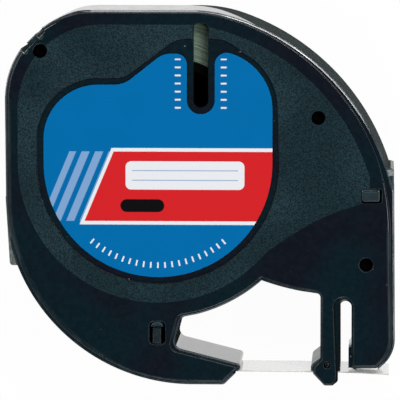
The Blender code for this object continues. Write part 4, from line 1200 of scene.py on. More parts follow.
    def shade_bay(self, thing: bpy.types.Object) -> None:
        """Paint the bay's walls that face right dark: painted shade where they mirror the shadowed floor."""
        is_wall, places, normals = self.wall_faces(thing.data)
        in_slot = (places[:, 0] > self.arm_right - self.medium) & (normals[:, 2] < self.slot_shade)
        in_slot &= places[:, 0] < self.leg_left - self.small
        in_bay = in_slot | (np.abs(places[:, 0] - self.bay_left) < self.corner_room)
        turns_up = normals[:, 1] > self.shade_turn * normals[:, 0]
        faces_right = (normals[:, 0] > self.upright) & ~turns_up & (is_wall | in_slot)
        refinish(thing, faces_right & in_bay & (places[:, 1] < self.cusp[1]), PAINTED_SHADE)

    def passage(self) -> Array:
        """Outline of the space that the tape takes from the chamber to the mouth of the tongue."""
        inner = self.lower_arc - self.left_wall
        wall_inset = np.array([-self.wall_way[1], self.wall_way[0]]) * self.side_wall
        corner = self.bay_corner - self.wall_way * self.side_wall + wall_inset
        wall_top = self.chamber_hit(corner, self.wall_way, self.chamber - OVERRUN)
        low = self.root_pin[1] - self.roller - self.channel
        mouth_y = self.bottom + self.mouth_rise - self.channel / 2
        guide_y = self.bottom + self.mouth_rise + self.channel / 2
        angle = 180 + math.degrees(math.asin((self.lower_centre[1] - low) / inner))
        ahead = self.tongue_end[0] + OVERRUN
        guide_x = self.tongue_end[0] - self.mouth_inset - self.mouth_radius
        roof = corner + self.tongue_way * ((guide_x - corner[0]) / self.tongue_way[0])
        trace = Trace().run(arc(self.lower_centre, inner, 165.0, angle))
        trace.corner((ahead, mouth_y)).corner((ahead, guide_y)).corner((guide_x, guide_y), self.small)
        return trace.corner(roof).corner(corner, self.small).corner(wall_top).outline()

    def pocket(self) -> Array:
        """Outline of the hollow to the right of the chamber that runs down into the leg."""
        wall = self.side_wall
        leg_left = self.leg_left + wall
        roof = self.underside_end[1] + wall + self.small
        heel = (self.right - self.leg_corner, self.leg_bottom + self.leg_corner)
        trace = Trace().corner((leg_left, self.leg_bottom + wall), self.small)
        trace.run(arc(heel, self.leg_corner - wall, -75.0, 0.0))
        trace.run(arc(self.upper_centre, self.upper_arc - wall, 0.0, 58.0))
        trace.run(arc((0, 0), self.chamber + wall, 46.0, -34.0))
        return trace.corner((self.arm_left - self.arm_width, roof), self.small).corner((leg_left, roof)).outline()

    def nose_rooms(self, prefix: str, base: float, top: float) -> list[bpy.types.Object]:
        """Cutters for the roller's pocket and for the tape's way below it, between the flanges."""
        way_top = self.arm_pin[1] - self.roller + self.channel / 2
        low = self.bottom - self.nose_drop - OVERRUN
        half = (self.arm_width + self.nose_reach, (way_top - low) / 2)
        # Both cutters give the near-black inner colour, painted shade.
        return [block(prefix + "_roller_room", ring(self.arm_pin, self.roller + self.roller_room), base, top, INNER_SHADE),
                block(prefix + "_tape_way", oblong((self.arm_pin[0], (way_top + low) / 2), half, 0.2), base, top, INNER_SHADE)]


@dataclass
class CoverMarks:
    """Places of the cover's holes and snaps, which the rear shell fits."""

    pin_hole: float = 1.04
    corner_pin: tuple[float, float] = (-18.17, 17.36)
    upper_pin: tuple[float, float] = (24.80, 7.13)
    leg_pin: tuple[float, float] = (32.24, -15.66)
    side_snap: tuple[float, float] = (32.92, -4.92)
    side_half: tuple[float, float] = (1.38, 0.92)
    side_window: tuple[float, float] = (33.06, -5.0)
    side_window_half: tuple[float, float] = (1.55, 1.05)
    lower_snap: tuple[float, float] = (-0.19, -26.72)
    lower_half: tuple[float, float] = (0.66, 1.38)
    lower_window: tuple[float, float] = (-0.10, -26.42)
    lower_window_half: tuple[float, float] = (1.22, 1.76)
    hood_middle: tuple[float, float] = (-0.15, -25.62)
    hood_outer: float = 1.02
    hood_inner: float = 0.62
    snap_gap: float = 0.2
    corner_scallops: tuple[tuple[float, float], ...] = ((-18.3, 19.7), (-20.6, 17.4))
    scallop: float = 0.5
    corner_length: float = 4.5
    corner_depth: float = 0.95
    corner_tongue: float = 2.0

    def corner_outline(self, form: CaseForm, depth: float, reach: float, length: float) -> Array:
        """Rectangle set square across the rounded top left corner.

        Args:
            form: outlines of the case.
            depth: how far it goes in from the corner's arc.
            reach: how far it stands out of it.
            length: its length along the corner.

        Returns:
            Its four corners, anticlockwise.
        """
        out = unit(np.array([-1.0, 1.0]))
        along = unit(np.array([1.0, 1.0]))
        centre = np.array([form.left + form.top_corner, form.top - form.top_corner])
        inner = centre + out * (form.top_corner - depth)
        outer = centre + out * (form.top_corner + reach)
        return np.array([inner - along * length / 2, inner + along * length / 2,
                         outer + along * length / 2, outer - along * length / 2])


@dataclass
class FrontCover:
    """Shallow case half: face with its textured zone, label recess, window slot, holes and snaps."""

    form: CaseForm
    marks: CoverMarks
    rounding: float = 0.95
    parting_chamfer: float = 0.08
    hole_rim: float = 0.16
    notch_rim: float = 0.2
    recess_depth: float = 0.35
    recess_rim: float = 0.14
    zone_depth: float = 0.025
    zone_radius: float = 21.7
    zone_arc: float = 33.4
    zone_right: float = 32.75
    zone_top: float = 21.45
    zone_corner: float = 13.0
    zone_bend: float = 9.0
    zone_bend_place: tuple[float, float] = (17.35, -13.35)
    zone_sweep: float = 35.37
    zone_sweep_centre: tuple[float, float] = (40.47, -40.44)
    label_radius: float = 17.72
    margin: float = 1.05
    lobe_margin: float = 0.8
    lobe_radius: float = 9.1
    lobe_rise: float = 8.3
    left_radius: float = 8.5
    left_rise: float = 3.64
    valley_x: float = -5.3
    crest_x: float = 0.8
    recess_top: float = 19.3
    window_x: float = 6.64
    window_half: float = 1.1
    window_inner: float = 9.76
    window_outer: float = 21.5
    window_corner: float = 0.6
    window_rim: float = 0.12
    window_chamfer: float = 0.09

    def zone_outline(self) -> Array:
        """Outline of the spark-textured zone of the face."""
        form = self.form
        sweep = np.array(self.zone_sweep_centre)
        start = math.degrees(math.atan2(-11.5 - sweep[1], 20.2 - sweep[0]))
        end = math.degrees(math.atan2(-6.36 - sweep[1], 31.0 - sweep[0]))
        rise = math.degrees(math.acos((self.zone_right - form.upper_centre[0]) / self.zone_arc))
        crown = math.degrees(math.asin((self.zone_top - form.upper_centre[1]) / self.zone_arc))
        left = -self.zone_radius
        corner = (left + self.zone_corner, self.zone_top - self.zone_corner)
        trace = Trace().run(arc((0, 0), self.zone_radius, 180.0, 314.0)).corner(self.zone_bend_place, self.zone_bend)
        trace.run(arc(sweep, self.zone_sweep, start, end))
        trace.corner((self.zone_right, -5.8), 0.4).run(arc(form.upper_centre, self.zone_arc, rise, crown))
        return trace.run(arc(corner, self.zone_corner, 90.0, 180.0)).outline()

    def recess_outline(self) -> Array:
        """Outline of the label's recess: round below, with two lobes and a valley above."""
        margin = self.margin
        lobe = (self.label_radius - self.lobe_radius, self.lobe_rise)
        left = (self.left_radius - self.label_radius, self.left_rise)
        valley = left[1] + self.left_radius + margin
        trace = Trace().run(arc((0, 0), self.label_radius + margin, 180.0, 360.0))
        trace.run(arc(lobe, self.lobe_radius + self.lobe_margin, 0.0, 60.0))
        trace.corner((lobe[0] + 1.6, self.recess_top), 6.0)
        trace.corner((self.crest_x + 2 * margin, self.recess_top), 4 * margin).corner((self.valley_x, valley), 4.3)
        return trace.run(arc(left, self.left_radius + margin, 90.0, 180.0)).outline()

    def window_outline(self) -> Array:
        """Outline of the slot over the roll: square at the rim and round at the inner end."""
        half = self.window_half
        trace = Trace().run(arc((self.window_x, self.window_inner), half, 180.0, 360.0))
        trace.corner((self.window_x + half, self.window_outer), self.window_corner)
        return trace.corner((self.window_x - half, self.window_outer), self.window_corner).outline()

    def build(self) -> bpy.types.Object:
        """Loft the outer skin, then hollow it and cut the face.

        Returns:
            The finished cover.
        """
        form, marks = self.form, self.marks
        chamfer = np.array([[-self.parting_chamfer, form.seam], [0.0, form.seam + self.parting_chamfer]])
        profile = np.concatenate([chamfer, quarter(self.rounding, form.depth, True, False)])
        outline = form.outline(False)
        cover = swept("cover_skin", outline, profile, POLISHED, share=form.edge_shares(outline))
        below = form.seam - OVERRUN
        inside = form.ceiling - OVERRUN / 2
        floor = form.depth - self.recess_depth
        # The hollows take the near-black inner colour, painted shade.
        tools = [block("cover_chamber", ring((0, 0), form.chamber), below, form.ceiling, INNER_SHADE),
                 block("cover_passage", form.passage(), below, form.ceiling, INNER_SHADE),
                 block("cover_pocket", form.pocket(), below, form.ceiling, INNER_SHADE),
                 block("cover_zone", self.zone_outline(), form.depth - self.zone_depth, form.depth + OVERRUN, MATTE),
                 block("cover_recess", self.recess_outline(), floor, form.depth, POLISHED, 0.06, self.recess_rim, True),
                 self.window_tool(inside)]
        tools += form.nose_rooms("cover", below, form.depth - form.flange)
        # Pin holes and the roller's pin bore get the black of painted shade, the snap windows the inner painted shade.
        for place in (marks.upper_pin, marks.leg_pin, marks.corner_pin):
            low = below if place is marks.corner_pin else inside
            tools.append(self.hole("cover_pin_hole", ring(place, marks.pin_hole), low, DEEP_SHADE))
        side = oblong(marks.side_window, marks.side_window_half, 0.3)
        lower = oblong(marks.lower_window, marks.lower_window_half, 0.7)
        tools.append(self.hole("cover_side_window", side, inside, INNER_SHADE))
        tools.append(self.hole("cover_lower_window", lower, inside, INNER_SHADE))
        tools.append(self.hole("cover_pin_bore", ring(form.arm_pin, 0.5), below, DEEP_SHADE))
        notch = marks.corner_outline(form, marks.corner_depth, OVERRUN, marks.corner_length)
        tools.append(block("cover_corner", notch, below, form.depth, POLISHED, 0, self.notch_rim, True))
        for place in marks.corner_scallops:
            scallop = ring(place, marks.scallop)
            tools.append(block("cover_scallop", scallop, below, form.depth, POLISHED, 0.0, self.notch_rim, True))
        combine(cover, Cut.TAKE, tools)
        cover.name = "front_cover_shell"
        self.soften_rims(cover)
        form.shade_bay(cover)
        smooth(cover)
        return hand_over(cover, Body.CASE, "front_cover")

    def soften_rims(self, cover: bpy.types.Object) -> None:
        """Give the rounds next to the face a softer finish, except along the upper right edge."""
        form = self.form
        _, places, normals = form.wall_faces(cover.data)
        is_rim = (normals[:, 2] > 0.05) & (normals[:, 2] < 0.995) & (places[:, 2] > form.depth - self.rounding)
        in_crown = (places[:, 1] > form.upper_centre[1]) & (normals[:, 1] > 0) & (normals[:, 0] > -form.upright)
        refinish(cover, is_rim & ~in_crown, RIM)

    def hole(self, name: str, outline: Array, base: float, finish: Finish) -> bpy.types.Object:
        """Cutter of a hole in the face, with a softly rounded rim."""
        return block(name, outline, base, self.form.depth, finish, 0.0, self.hole_rim, True)

    def window_tool(self, inside: float) -> bpy.types.Object:
        """Cutter of the window slot, which opens towards the face with a straight bevel."""
        face = self.form.depth
        chamfer = self.window_chamfer
        profile = np.array([[0.0, inside], [0.0, face - 0.75], [self.window_rim, face - chamfer],
                            [self.window_rim + chamfer, face], [self.window_rim + chamfer, face + OVERRUN]])
        return swept("cover_window", self.window_outline(), profile, POLISHED)


@dataclass
class RearShell:
    """Deep case half: floor, walls, ears, spool post, pins and snap tongues."""

    form: CaseForm
    marks: CoverMarks
    back_rounding: float = 0.4
    lip_rounding: float = 0.05
    lip_width: float = 0.3
    lip_lean: float = 22.5
    left_ear: float = 10.7
    left_taper: float = 0.64
    right_ear: float = 10.85
    ear_root: float = 5.5
    ear_rounding: float = 0.3
    tip_width: float = 1.3
    tip_length: float = 1.2
    tip_inset: float = 0.12
    tip_slant: float = 0.25
    tip_drop: float = 0.05
    tip_sink: float = 0.02
    pad_reach: float = 0.45
    pad_height: float = 3.0
    pad_slope: float = 3.0
    pad_base: float = 6.0
    post: float = 5.0
    post_wall: float = 1.4
    post_top: float = 12.55
    bore_stop: float = 1.6
    pin_fit: float = 0.1
    pin_depth: float = 1.3
    pin_post_wall: float = 0.7
    snap_depth: float = 0.4
    crease: float = 20.0
    texture_back: float = 3.9
    texture_front: float = 15.3

    def lip(self) -> Array:
        """Profile of the lip: a tight round from the wall into a bevel that leans outward."""
        lean = math.radians(self.lip_lean)
        angles = np.linspace(0, math.pi / 2 - lean, RIM_STEPS + 1)
        offset = self.lip_rounding * (np.cos(angles) - 1)
        height = self.lip_rounding * np.sin(angles)
        rise = (offset[-1] + self.lip_width) * math.tan(lean)
        height += self.form.shell_top - height[-1] - rise
        return np.concatenate([np.stack([offset, height], 1), [[-self.lip_width, self.form.shell_top]]])

    def ears(self) -> list[bpy.types.Object]:
        """The two ears that carry the sides on past the arcs, and the block beside the leg."""
        form = self.form
        low, top = self.back_rounding, form.shell_top - form.rear_step
        edge = form.left
        high = form.lower_centre[1]
        left = Trace().corner((edge + self.ear_root, high)).corner((edge, high))
        left.corner((edge + self.left_taper, high - self.left_ear), form.small)
        left.corner((edge + self.ear_root, high - self.left_ear))
        edge = form.right + form.rear_step * form.right_share / 2
        base = form.upper_centre[1]
        right = Trace().corner((edge - self.ear_root, base)).corner((edge, base))
        right.corner((edge, base + self.right_ear), form.small).corner((edge - self.ear_root, base + self.right_ear))
        tip_end = base + self.right_ear
        tip_edge = edge - self.tip_sink
        tip_root = edge - self.tip_width
        tip = Trace().corner((tip_root, tip_end - self.tip_length)).corner((tip_edge, tip_end - self.tip_length))
        tip.corner((tip_edge, tip_end - self.tip_inset)).corner((tip_root, tip_end - self.tip_slant))
        edge = form.leg_left - self.pad_reach
        inner = form.leg_left + self.pad_reach
        pad_top = form.leg_bottom + self.pad_height
        pad = Trace().corner((edge, form.leg_bottom)).corner((inner, form.leg_bottom))
        pad.corner((inner, pad_top + self.pad_reach * self.pad_slope)).corner((edge, pad_top))
        # The left ear takes a painted reflection, the right ear's end block painted light on its lit upper end, and the
        # right ear the satin plastic, partly painted light.
        return [block("left_ear", left.outline(), low, top, EAR_LIGHT, self.ear_rounding, self.ear_rounding),
                block("right_ear", right.outline(), low, top, SATIN_LIGHT, self.ear_rounding, self.ear_rounding),
                block("right_ear_tip", tip.outline(), low, form.shell_top - self.tip_drop, TIP_LIGHT, 0.0, 0.08),
                block("leg_pad", pad.outline(), self.pad_base, top, POLISHED)]

    def fittings(self) -> list[bpy.types.Object]:
        """Spool post, locating pins and snap tongues."""
        form, marks = self.form, self.marks
        root = form.floor / 2
        pin = marks.pin_hole - self.pin_fit
        pin_top = form.depth - self.pin_depth
        # The post and pin posts take the inner painted shade, the pins the black of painted shade.
        made = [block("post", ring((0, 0), self.post), root, self.post_top, INNER_SHADE, 0.0, 0.3),
                block("corner_pin", ring(marks.corner_pin, pin), root, pin_top, DEEP_SHADE, 0.0, 0.2)]
        for place in (marks.upper_pin, marks.leg_pin):
            made.append(block("pin_post", ring(place, pin + self.pin_post_wall), root, form.ceiling - 0.1, INNER_SHADE))
            made.append(block("pin", ring(place, pin), root, pin_top, DEEP_SHADE, 0.0, 0.2))
        return made + self.side_tongue(root) + self.lower_tongue(root) + self.corner_tongue(root)

    def side_tongue(self, root: float) -> list[bpy.types.Object]:
        """The right-hand snap: a lug that leans back a little, with a low ridge near its upper edge."""
        middle, half = np.array(self.marks.side_snap), np.array(self.marks.side_half)
        top = self.form.depth
        bar = oblong(middle + (0.05, half[1] - 0.26), (half[0] * 0.84, 0.17), 0.14)
        # Lug and ridge take the satin plastic, whose lighter colour is partly painted light.
        return [block("side_lug", oblong(middle, half, 0.3), root, top - 0.08, SATIN_LIGHT, 0.0, 0.18, tilt=(0, -0.09)),
                block("side_ridge", bar, root, top - 0.04, SATIN_LIGHT, 0.0, 0.1)]

    def lower_tongue(self, root: float) -> list[bpy.types.Object]:
        """The lower snap: a narrow ramp that rises towards its lower end, below an arched hood."""
        marks, top = self.marks, self.form.depth
        # Ramp and hood take a lighter colour, painted light against the shade of their recess.
        ramp = block("lower_ramp", oblong(marks.lower_snap, marks.lower_half, 0.14), root, top - 0.42, SNAP_LIGHT,
                     0.0, 0.12, tilt=(0, -0.22))
        arch = np.concatenate([arc(marks.hood_middle, marks.hood_outer, 12.0, 168.0),
                               arc(marks.hood_middle, marks.hood_inner, 168.0, 12.0)])
        return [ramp, block("lower_hood", arch, root, top - 0.16, SNAP_LIGHT, 0.0, 0.14, tilt=(0, -0.12))]

    def corner_tongue(self, root: float) -> list[bpy.types.Object]:
        """The tongue in the middle of the corner notch."""
        marks, form = self.marks, self.form
        outline = marks.corner_outline(form, marks.corner_depth + marks.snap_gap, -marks.snap_gap, marks.corner_tongue)
        # The satin plastic's lighter colour is partly painted light.
        return [block("corner_tongue", outline, root, form.depth - self.snap_depth, SATIN_LIGHT, 0.0, 0.2)]

    def build(self) -> bpy.types.Object:
        """Loft the tub, add its ears and fittings, and hollow it.

        Returns:
            The finished shell.
        """
        form = self.form
        above = form.depth + OVERRUN
        profile = np.concatenate([quarter(self.back_rounding, 0.0, False, False), self.lip()])
        outline = form.rear_outline()
        shell = swept("shell_skin", outline, profile, POLISHED, lean=form.rear_lean(outline))
        combine(shell, Cut.ADD, self.ears())
        # The hollows take the inner painted shade, the corner pin's well the black of painted shade.
        hollows = [block("shell_chamber", ring((0, 0), form.chamber), form.floor, above, INNER_SHADE),
                   block("shell_passage", form.passage(), form.floor, above, INNER_SHADE),
                   block("shell_pocket", form.pocket(), form.floor, above, INNER_SHADE)]
        notch = self.marks.corner_outline(form, self.marks.corner_depth, OVERRUN, self.marks.corner_length)
        hollows.append(block("shell_corner", notch, form.floor, form.shell_top, WALL, 0.0, self.lip_width, True))
        hollows.append(block("shell_pin_well", ring(self.marks.corner_pin, self.marks.pin_hole),
                             form.shell_top - self.pin_depth, above, DEEP_SHADE))
        combine(shell, Cut.TAKE, hollows + form.nose_rooms("shell", form.flange, above))
        combine(shell, Cut.ADD, self.fittings())
        combine(shell, Cut.TAKE, self.back_marks())
        shell.name = "rear_shell_tub"
        self.texture_wall(shell)
        self.paint_lip_highlight(shell)
        self.dull_shoulder(shell)
        form.shade_bay(shell)
        smooth(shell, self.crease)
        return hand_over(shell, Body.CASE, "rear_shell")

    def texture_wall(self, shell: bpy.types.Object) -> None:
        """Give the wall of the big upper right arc its textured finish, up to a slanted border."""
        form = self.form
        across = np.array([form.shell_top, 0.0, self.texture_back - self.texture_front])
        start = np.array([self.texture_back, 0.0, 0.0])
        split(shell, start, across)
        is_wall, places, _ = form.wall_faces(shell.data)
        reach = np.linalg.norm(places[:, :2] - form.upper_centre, axis=1)
        on_arc = (np.abs(reach - form.upper_arc) < form.medium) & (places[:, 1] > form.upper_centre[1] + form.medium)
        refinish(shell, is_wall & on_arc & ((places - start) @ across > 0), WALL)

    def paint_lip_highlight(self, shell: bpy.types.Object) -> None:
        """Paint a highlight on the lip's bevel with a lighter, glossier colour, and give it the softer rim finish about
        the bay.
        """
        form = self.form
        _, places, normals = form.wall_faces(shell.data)
        is_bevel = (normals[:, 2] > form.upright) & (normals[:, 2] < form.slot_shade)
        is_bevel &= np.abs(places[:, 2] - form.shell_top) < self.lip_width
        by_bay = (places[:, 1] < form.upper_centre[1]) & (places[:, 0] < form.leg_left + form.large)
        refinish(shell, is_bevel & ~by_bay, LIP_HIGHLIGHT)
        refinish(shell, is_bevel & by_bay, RIM)

    def dull_shoulder(self, shell: bpy.types.Object) -> None:
        """Give the sloping shoulder of the arm's nose its satin finish, whose lighter colour is partly painted light.
        """
        form = self.form
        is_wall, places, normals = form.wall_faces(shell.data)
        off_nose = np.abs(places[:, 0] - form.arm_left + form.nose_reach / 2) < form.nose_reach
        slopes = (normals[:, 1] > form.upright) & (places[:, 1] < form.underside_end[1] - form.medium)
        refinish(shell, is_wall & slopes & off_nose, SATIN_LIGHT)

    def back_marks(self) -> list[bpy.types.Object]:
        """The post's bore and the shallow mould marks of the back."""
        bore = self.post - self.post_wall
        stop = self.post_top - self.bore_stop
        profile = np.array([[0.35, -OVERRUN], [0.35, 0.0], [0.0, 0.35], [0.0, stop]])
        # The post's bore takes the inner painted shade.
        made = [swept("post_bore", ring((0, 0), bore), profile, INNER_SHADE)]
        for place in ((-15.2, 8.8), (8.8, 15.2), (15.2, -8.8), (-8.8, -15.2)):
            made.append(block("ejector_mark", ring(place, 1.3), -OVERRUN, 0.06, POLISHED, 0.0, 0.04))
        return made


@dataclass
class FaceLabel:
    """Printed sticker in the cover's recess."""

    cover: FrontCover
    print_finish: PrintedLabel = PrintedLabel()
    notch: float = 2.15
    crest: float = 3.4
    top: float = 16.95
    bend: float = 1.85
    edge: float = 0.05

    def outline(self) -> Array:
        """Outline of the sticker, with the notch that leaves the window clear."""
        cover = self.cover
        lobe = (cover.label_radius - cover.lobe_radius, cover.lobe_rise)
        left = (cover.left_radius - cover.label_radius, cover.left_rise)
        notch = self.notch
        trace = Trace().run(arc((0, 0), cover.label_radius, 180.0, 360.0))
        bend_x = cover.window_x + notch + self.bend
        bend_rise = np.sqrt((cover.lobe_radius - self.bend) ** 2 - (bend_x - lobe[0]) ** 2)
        meeting = np.degrees(np.arctan2(bend_rise, bend_x - lobe[0]))
        trace.run(arc(lobe, cover.lobe_radius, 0.0, meeting - 1.0))
        trace.run(arc((bend_x, lobe[1] + bend_rise), self.bend, meeting, 180.0))
        trace.run(arc((cover.window_x, cover.window_inner), notch, 0.0, -180.0))
        trace.corner((cover.window_x - notch, self.top), notch).corner((cover.crest_x, self.top), self.crest)
        trace.corner((cover.valley_x, left[1] + cover.left_radius), 2 * notch)
        return trace.run(arc(left, cover.left_radius, 90.0, 180.0)).outline()

    def build(self) -> bpy.types.Object:
        """Cut the sticker and round its edge slightly.

        Returns:
            The finished label.
        """
        low, high = node_box("front_label")
        label = block("face_label", self.outline(), low[2], high[2], self.print_finish, 0.0, self.edge)
        smooth(label)
        return hand_over(label, Body.CASE, "front_label")


@dataclass
class TapeSpool:
    """The core and the tape wound on it."""

    layers: int = 64
    wobble: float = 0.035
    steps: int = 360

    def build(self) -> bpy.types.Object:
        """Turn the roll with uneven layers and dress the core.

        The side of the roll is a ring of layers, each set a little higher or lower than the
        next by a seeded draw, with one slow rise and fall along the turn.

        Returns:
            The finished roll.
        """
        low, high = node_box("tape_roll")
        inner = node_box("tape_core")[1][0]
        draws = np.random.default_rng(NOISE_SEED)
        radii = np.linspace(inner + 0.05, high[0], self.layers)
        lift = np.minimum(draws.normal(0.0, self.wobble, self.layers), 0.0)
        side = np.stack([radii, high[2] + lift], 1)
        back = np.stack([radii[::-1], low[2] - lift[::-1]], 1)
        profile = np.concatenate([back, side])
        angles = np.linspace(0, 2 * math.pi, self.steps, endpoint=False)
        phase = draws.uniform(0, 2 * math.pi, len(profile))
        wave = -0.012 * (1 + np.sin(angles[None] * 2 + phase[:, None]))
        wave = np.where((profile[:, 1] > (low[2] + high[2]) / 2)[:, None], wave, -wave)
        roll = turned("wound_tape", profile, (0, 0), WoundEdges(), wave, self.steps)
        smooth(roll, 60.0)
        # The black core takes the black of painted shade, which also stands for the shade of its deep hollow.
        core = frame["nodes"]["tape_core"]
        core.data.materials.clear()
        core.data.materials.append(DEEP_SHADE.material())
        return hand_over(roll, Body.SPOOL, "tape_roll")


@dataclass
class TapeLead:
    """The free tape from the roll to its end: film on the roller side and liner below."""

    form: CaseForm
    gap: float = 0.12
    film: float = 0.098
    liner: float = 0.08
    droop: float = 0.3
    end_inset: float = 0.6
    run_step: float = 0.5

    def guides(self) -> list[tuple[Array, float]]:
        """Every guide the tape bends round, as a centre and the radius of the tape's middle."""
        form = self.form
        lift = self.gap + (self.film + self.liner) / 2
        mouth = np.array([form.tongue_end[0] - form.mouth_inset,
                          form.bottom + form.mouth_rise + lift + form.mouth_radius])
        return [(np.zeros(2), form.roll + lift), (form.root_pin, form.roller + lift),
                (mouth, form.mouth_radius + lift), (form.arm_pin, form.roller + lift)]

    def path(self) -> Array:
        """Middle line of the tape: straight runs that touch each guide, arcs round them, a drooping end.

        Returns:
            Points in order from the roll to the free end.
        """
        guides = self.guides()
        ends = []
        for (first, first_radius), (second, second_radius) in zip(guides, guides[1:]):
            between = second - first
            lean = math.acos((first_radius - second_radius) / np.linalg.norm(between))
            angle = math.atan2(between[1], between[0]) - lean
            normal = np.array([math.cos(angle), math.sin(angle)])
            ends.append((first + normal * first_radius, second + normal * second_radius, math.degrees(angle)))
        parts = []
        for (centre, radius), before, after in zip(guides[1:], ends, ends[1:]):
            parts.append(self.straight(before[0], before[1]))
            parts.append(arc(centre, radius, before[2], after[2])[1:])
        start, touch, _ = ends[-1]
        parts.append(self.straight(start, touch))
        way = unit(touch - start)
        free = self.straight(touch, touch + way * ((self.form.right - self.end_inset - touch[0]) / way[0]))
        sag = np.linspace(0, 1, len(free)) ** 2 * self.droop
        parts.append((free - np.stack([np.zeros_like(sag), sag], 1))[1:])
        return np.concatenate(parts)

    def straight(self, start: Array, end: Array) -> Array:
        """Even points along a straight run."""
        count = max(2, math.ceil(np.linalg.norm(end - start) / self.run_step))
        return start + (end - start) * np.linspace(0, 1, count + 1)[:, None]

    def ribbon(self, name: str, low: float, high: float, finish: Finish) -> bpy.types.Object:
        """Strip whose flat section is carried along the path, square to it.

        Args:
            name: name of the piece.
            low: height of its lower face over the tape's middle.
            high: height of its upper face.
            finish: finish of every face.

        Returns:
            The strip.
        """
        path = self.path()
        way = unit(np.gradient(path, axis=0))
        left = np.stack([-way[:, 1], way[:, 0]], 1)
        heights = np.array([low, high, high, low])
        levels = np.array([self.form.tape_back, self.form.tape_back, self.form.tape_front, self.form.tape_front])
        flat = path[:, None] + left[:, None] * heights[None, :, None]
        points = np.concatenate([flat, np.broadcast_to(levels[None, :, None], (*flat.shape[:2], 1))], 2)
        faces = grid_faces(len(path), 4).tolist()
        last = (len(path) - 1) * 4
        faces += [[3, 2, 1, 0], [last, last + 1, last + 2, last + 3]]
        return new_object(name, points.reshape(-1, 3), faces, finish)

    def build(self) -> list[bpy.types.Object]:
        """Make the film and its liner.

        Returns:
            Both strips.
        """
        half = (self.film + self.liner) / 2
        split = half - self.film
        made = []
        for node, low, high, finish in (("lead_film", split + 0.01, half, FILM), ("lead_liner", -half, split - 0.01, LINER)):
            strip = self.ribbon(node + "_strip", low, high, finish)
            smooth(strip, 50.0)
            made.append(hand_over(strip, Body.CASE, node))
        return made


@dataclass
class GuideRoller:
    """A guide roller and the steel pin it turns on."""

    node: str
    body: Body
    edge: float = 0.18
    pin_edge: float = 0.2
    steps: int = 72

    def build(self) -> list[bpy.types.Object]:
        """Turn the roller and its pin, both with rounded ends.

        Returns:
            The roller and the pin.
        """
        low, high = node_box(self.node)
        pin_low, pin_high = node_box(self.node + "_pin")
        centre = CaseForm.middle(self.node)
        radius = (high[0] - low[0]) / 2
        pin_radius = (pin_high[0] - pin_low[0]) / 2
        bore = pin_radius + 0.08
        rim = quarter(self.edge, high[2], True, False) + [radius, 0.0]
        foot = quarter(self.edge, low[2], False, False) + [radius, 0.0]
        roller = turned(self.node + "_sleeve", np.concatenate([[[bore, low[2]]], foot, rim, [[bore, high[2]]]]),
                        centre, BEARING, steps=self.steps)
        tip = quarter(self.pin_edge, pin_high[2], True, False) + [0.0, 0.0]
        base = quarter(self.pin_edge, pin_low[2], False, False)
        profile = np.concatenate([base, tip])
        pin = swept(self.node + "_axle", ring(centre, pin_radius), profile, STEEL_PIN)
        smooth(roller)
        smooth(pin)
        return [hand_over(roller, self.body, self.node), hand_over(pin, Body.CASE, self.node + "_pin")]


@dataclass
class HiddenWorks:
    """Small works inside the closed case, which keep their CAD shapes."""

    finishes: dict[str, Finish] = field(default_factory=lambda: {
        "drag_washer": FELT, "drag_spring": STEEL_STRIP, "brake_leaf": STEEL_STRIP, "brake_pad": FELT})

    def dress(self) -> None:
        """Give each CAD node its finish."""
        for node, finish in self.finishes.items():
            mesh = frame["nodes"][node].data
            mesh.materials.clear()
            mesh.materials.append(finish.material())
            log.info("%s: dressed", node)


@dataclass
class Lamp:
    """A soft oblong lamp that looks at the cassette."""

    name: str
    azimuth: float
    elevation: float
    distance: float
    width: float
    height: float
    power: float

    def build(self) -> bpy.types.Object:
        """Hang the lamp by its angles, turned to the origin.

        Returns:
            The lamp.
        """
        light = bpy.data.lights.new(self.name, "AREA")
        light.shape = "RECTANGLE"
        light.size = self.width
        light.size_y = self.height
        light.energy = self.power
        thing = bpy.data.objects.new(self.name, light)
        turn, rise = math.radians(self.azimuth), math.radians(self.elevation)
        away = Vector((math.cos(turn) * math.cos(rise), math.sin(turn) * math.cos(rise), math.sin(rise)))
        thing.location = away * self.distance
        thing.rotation_euler = away.to_track_quat("Z", "Y").to_euler()
        bpy.context.scene.collection.objects.link(thing)
        return thing


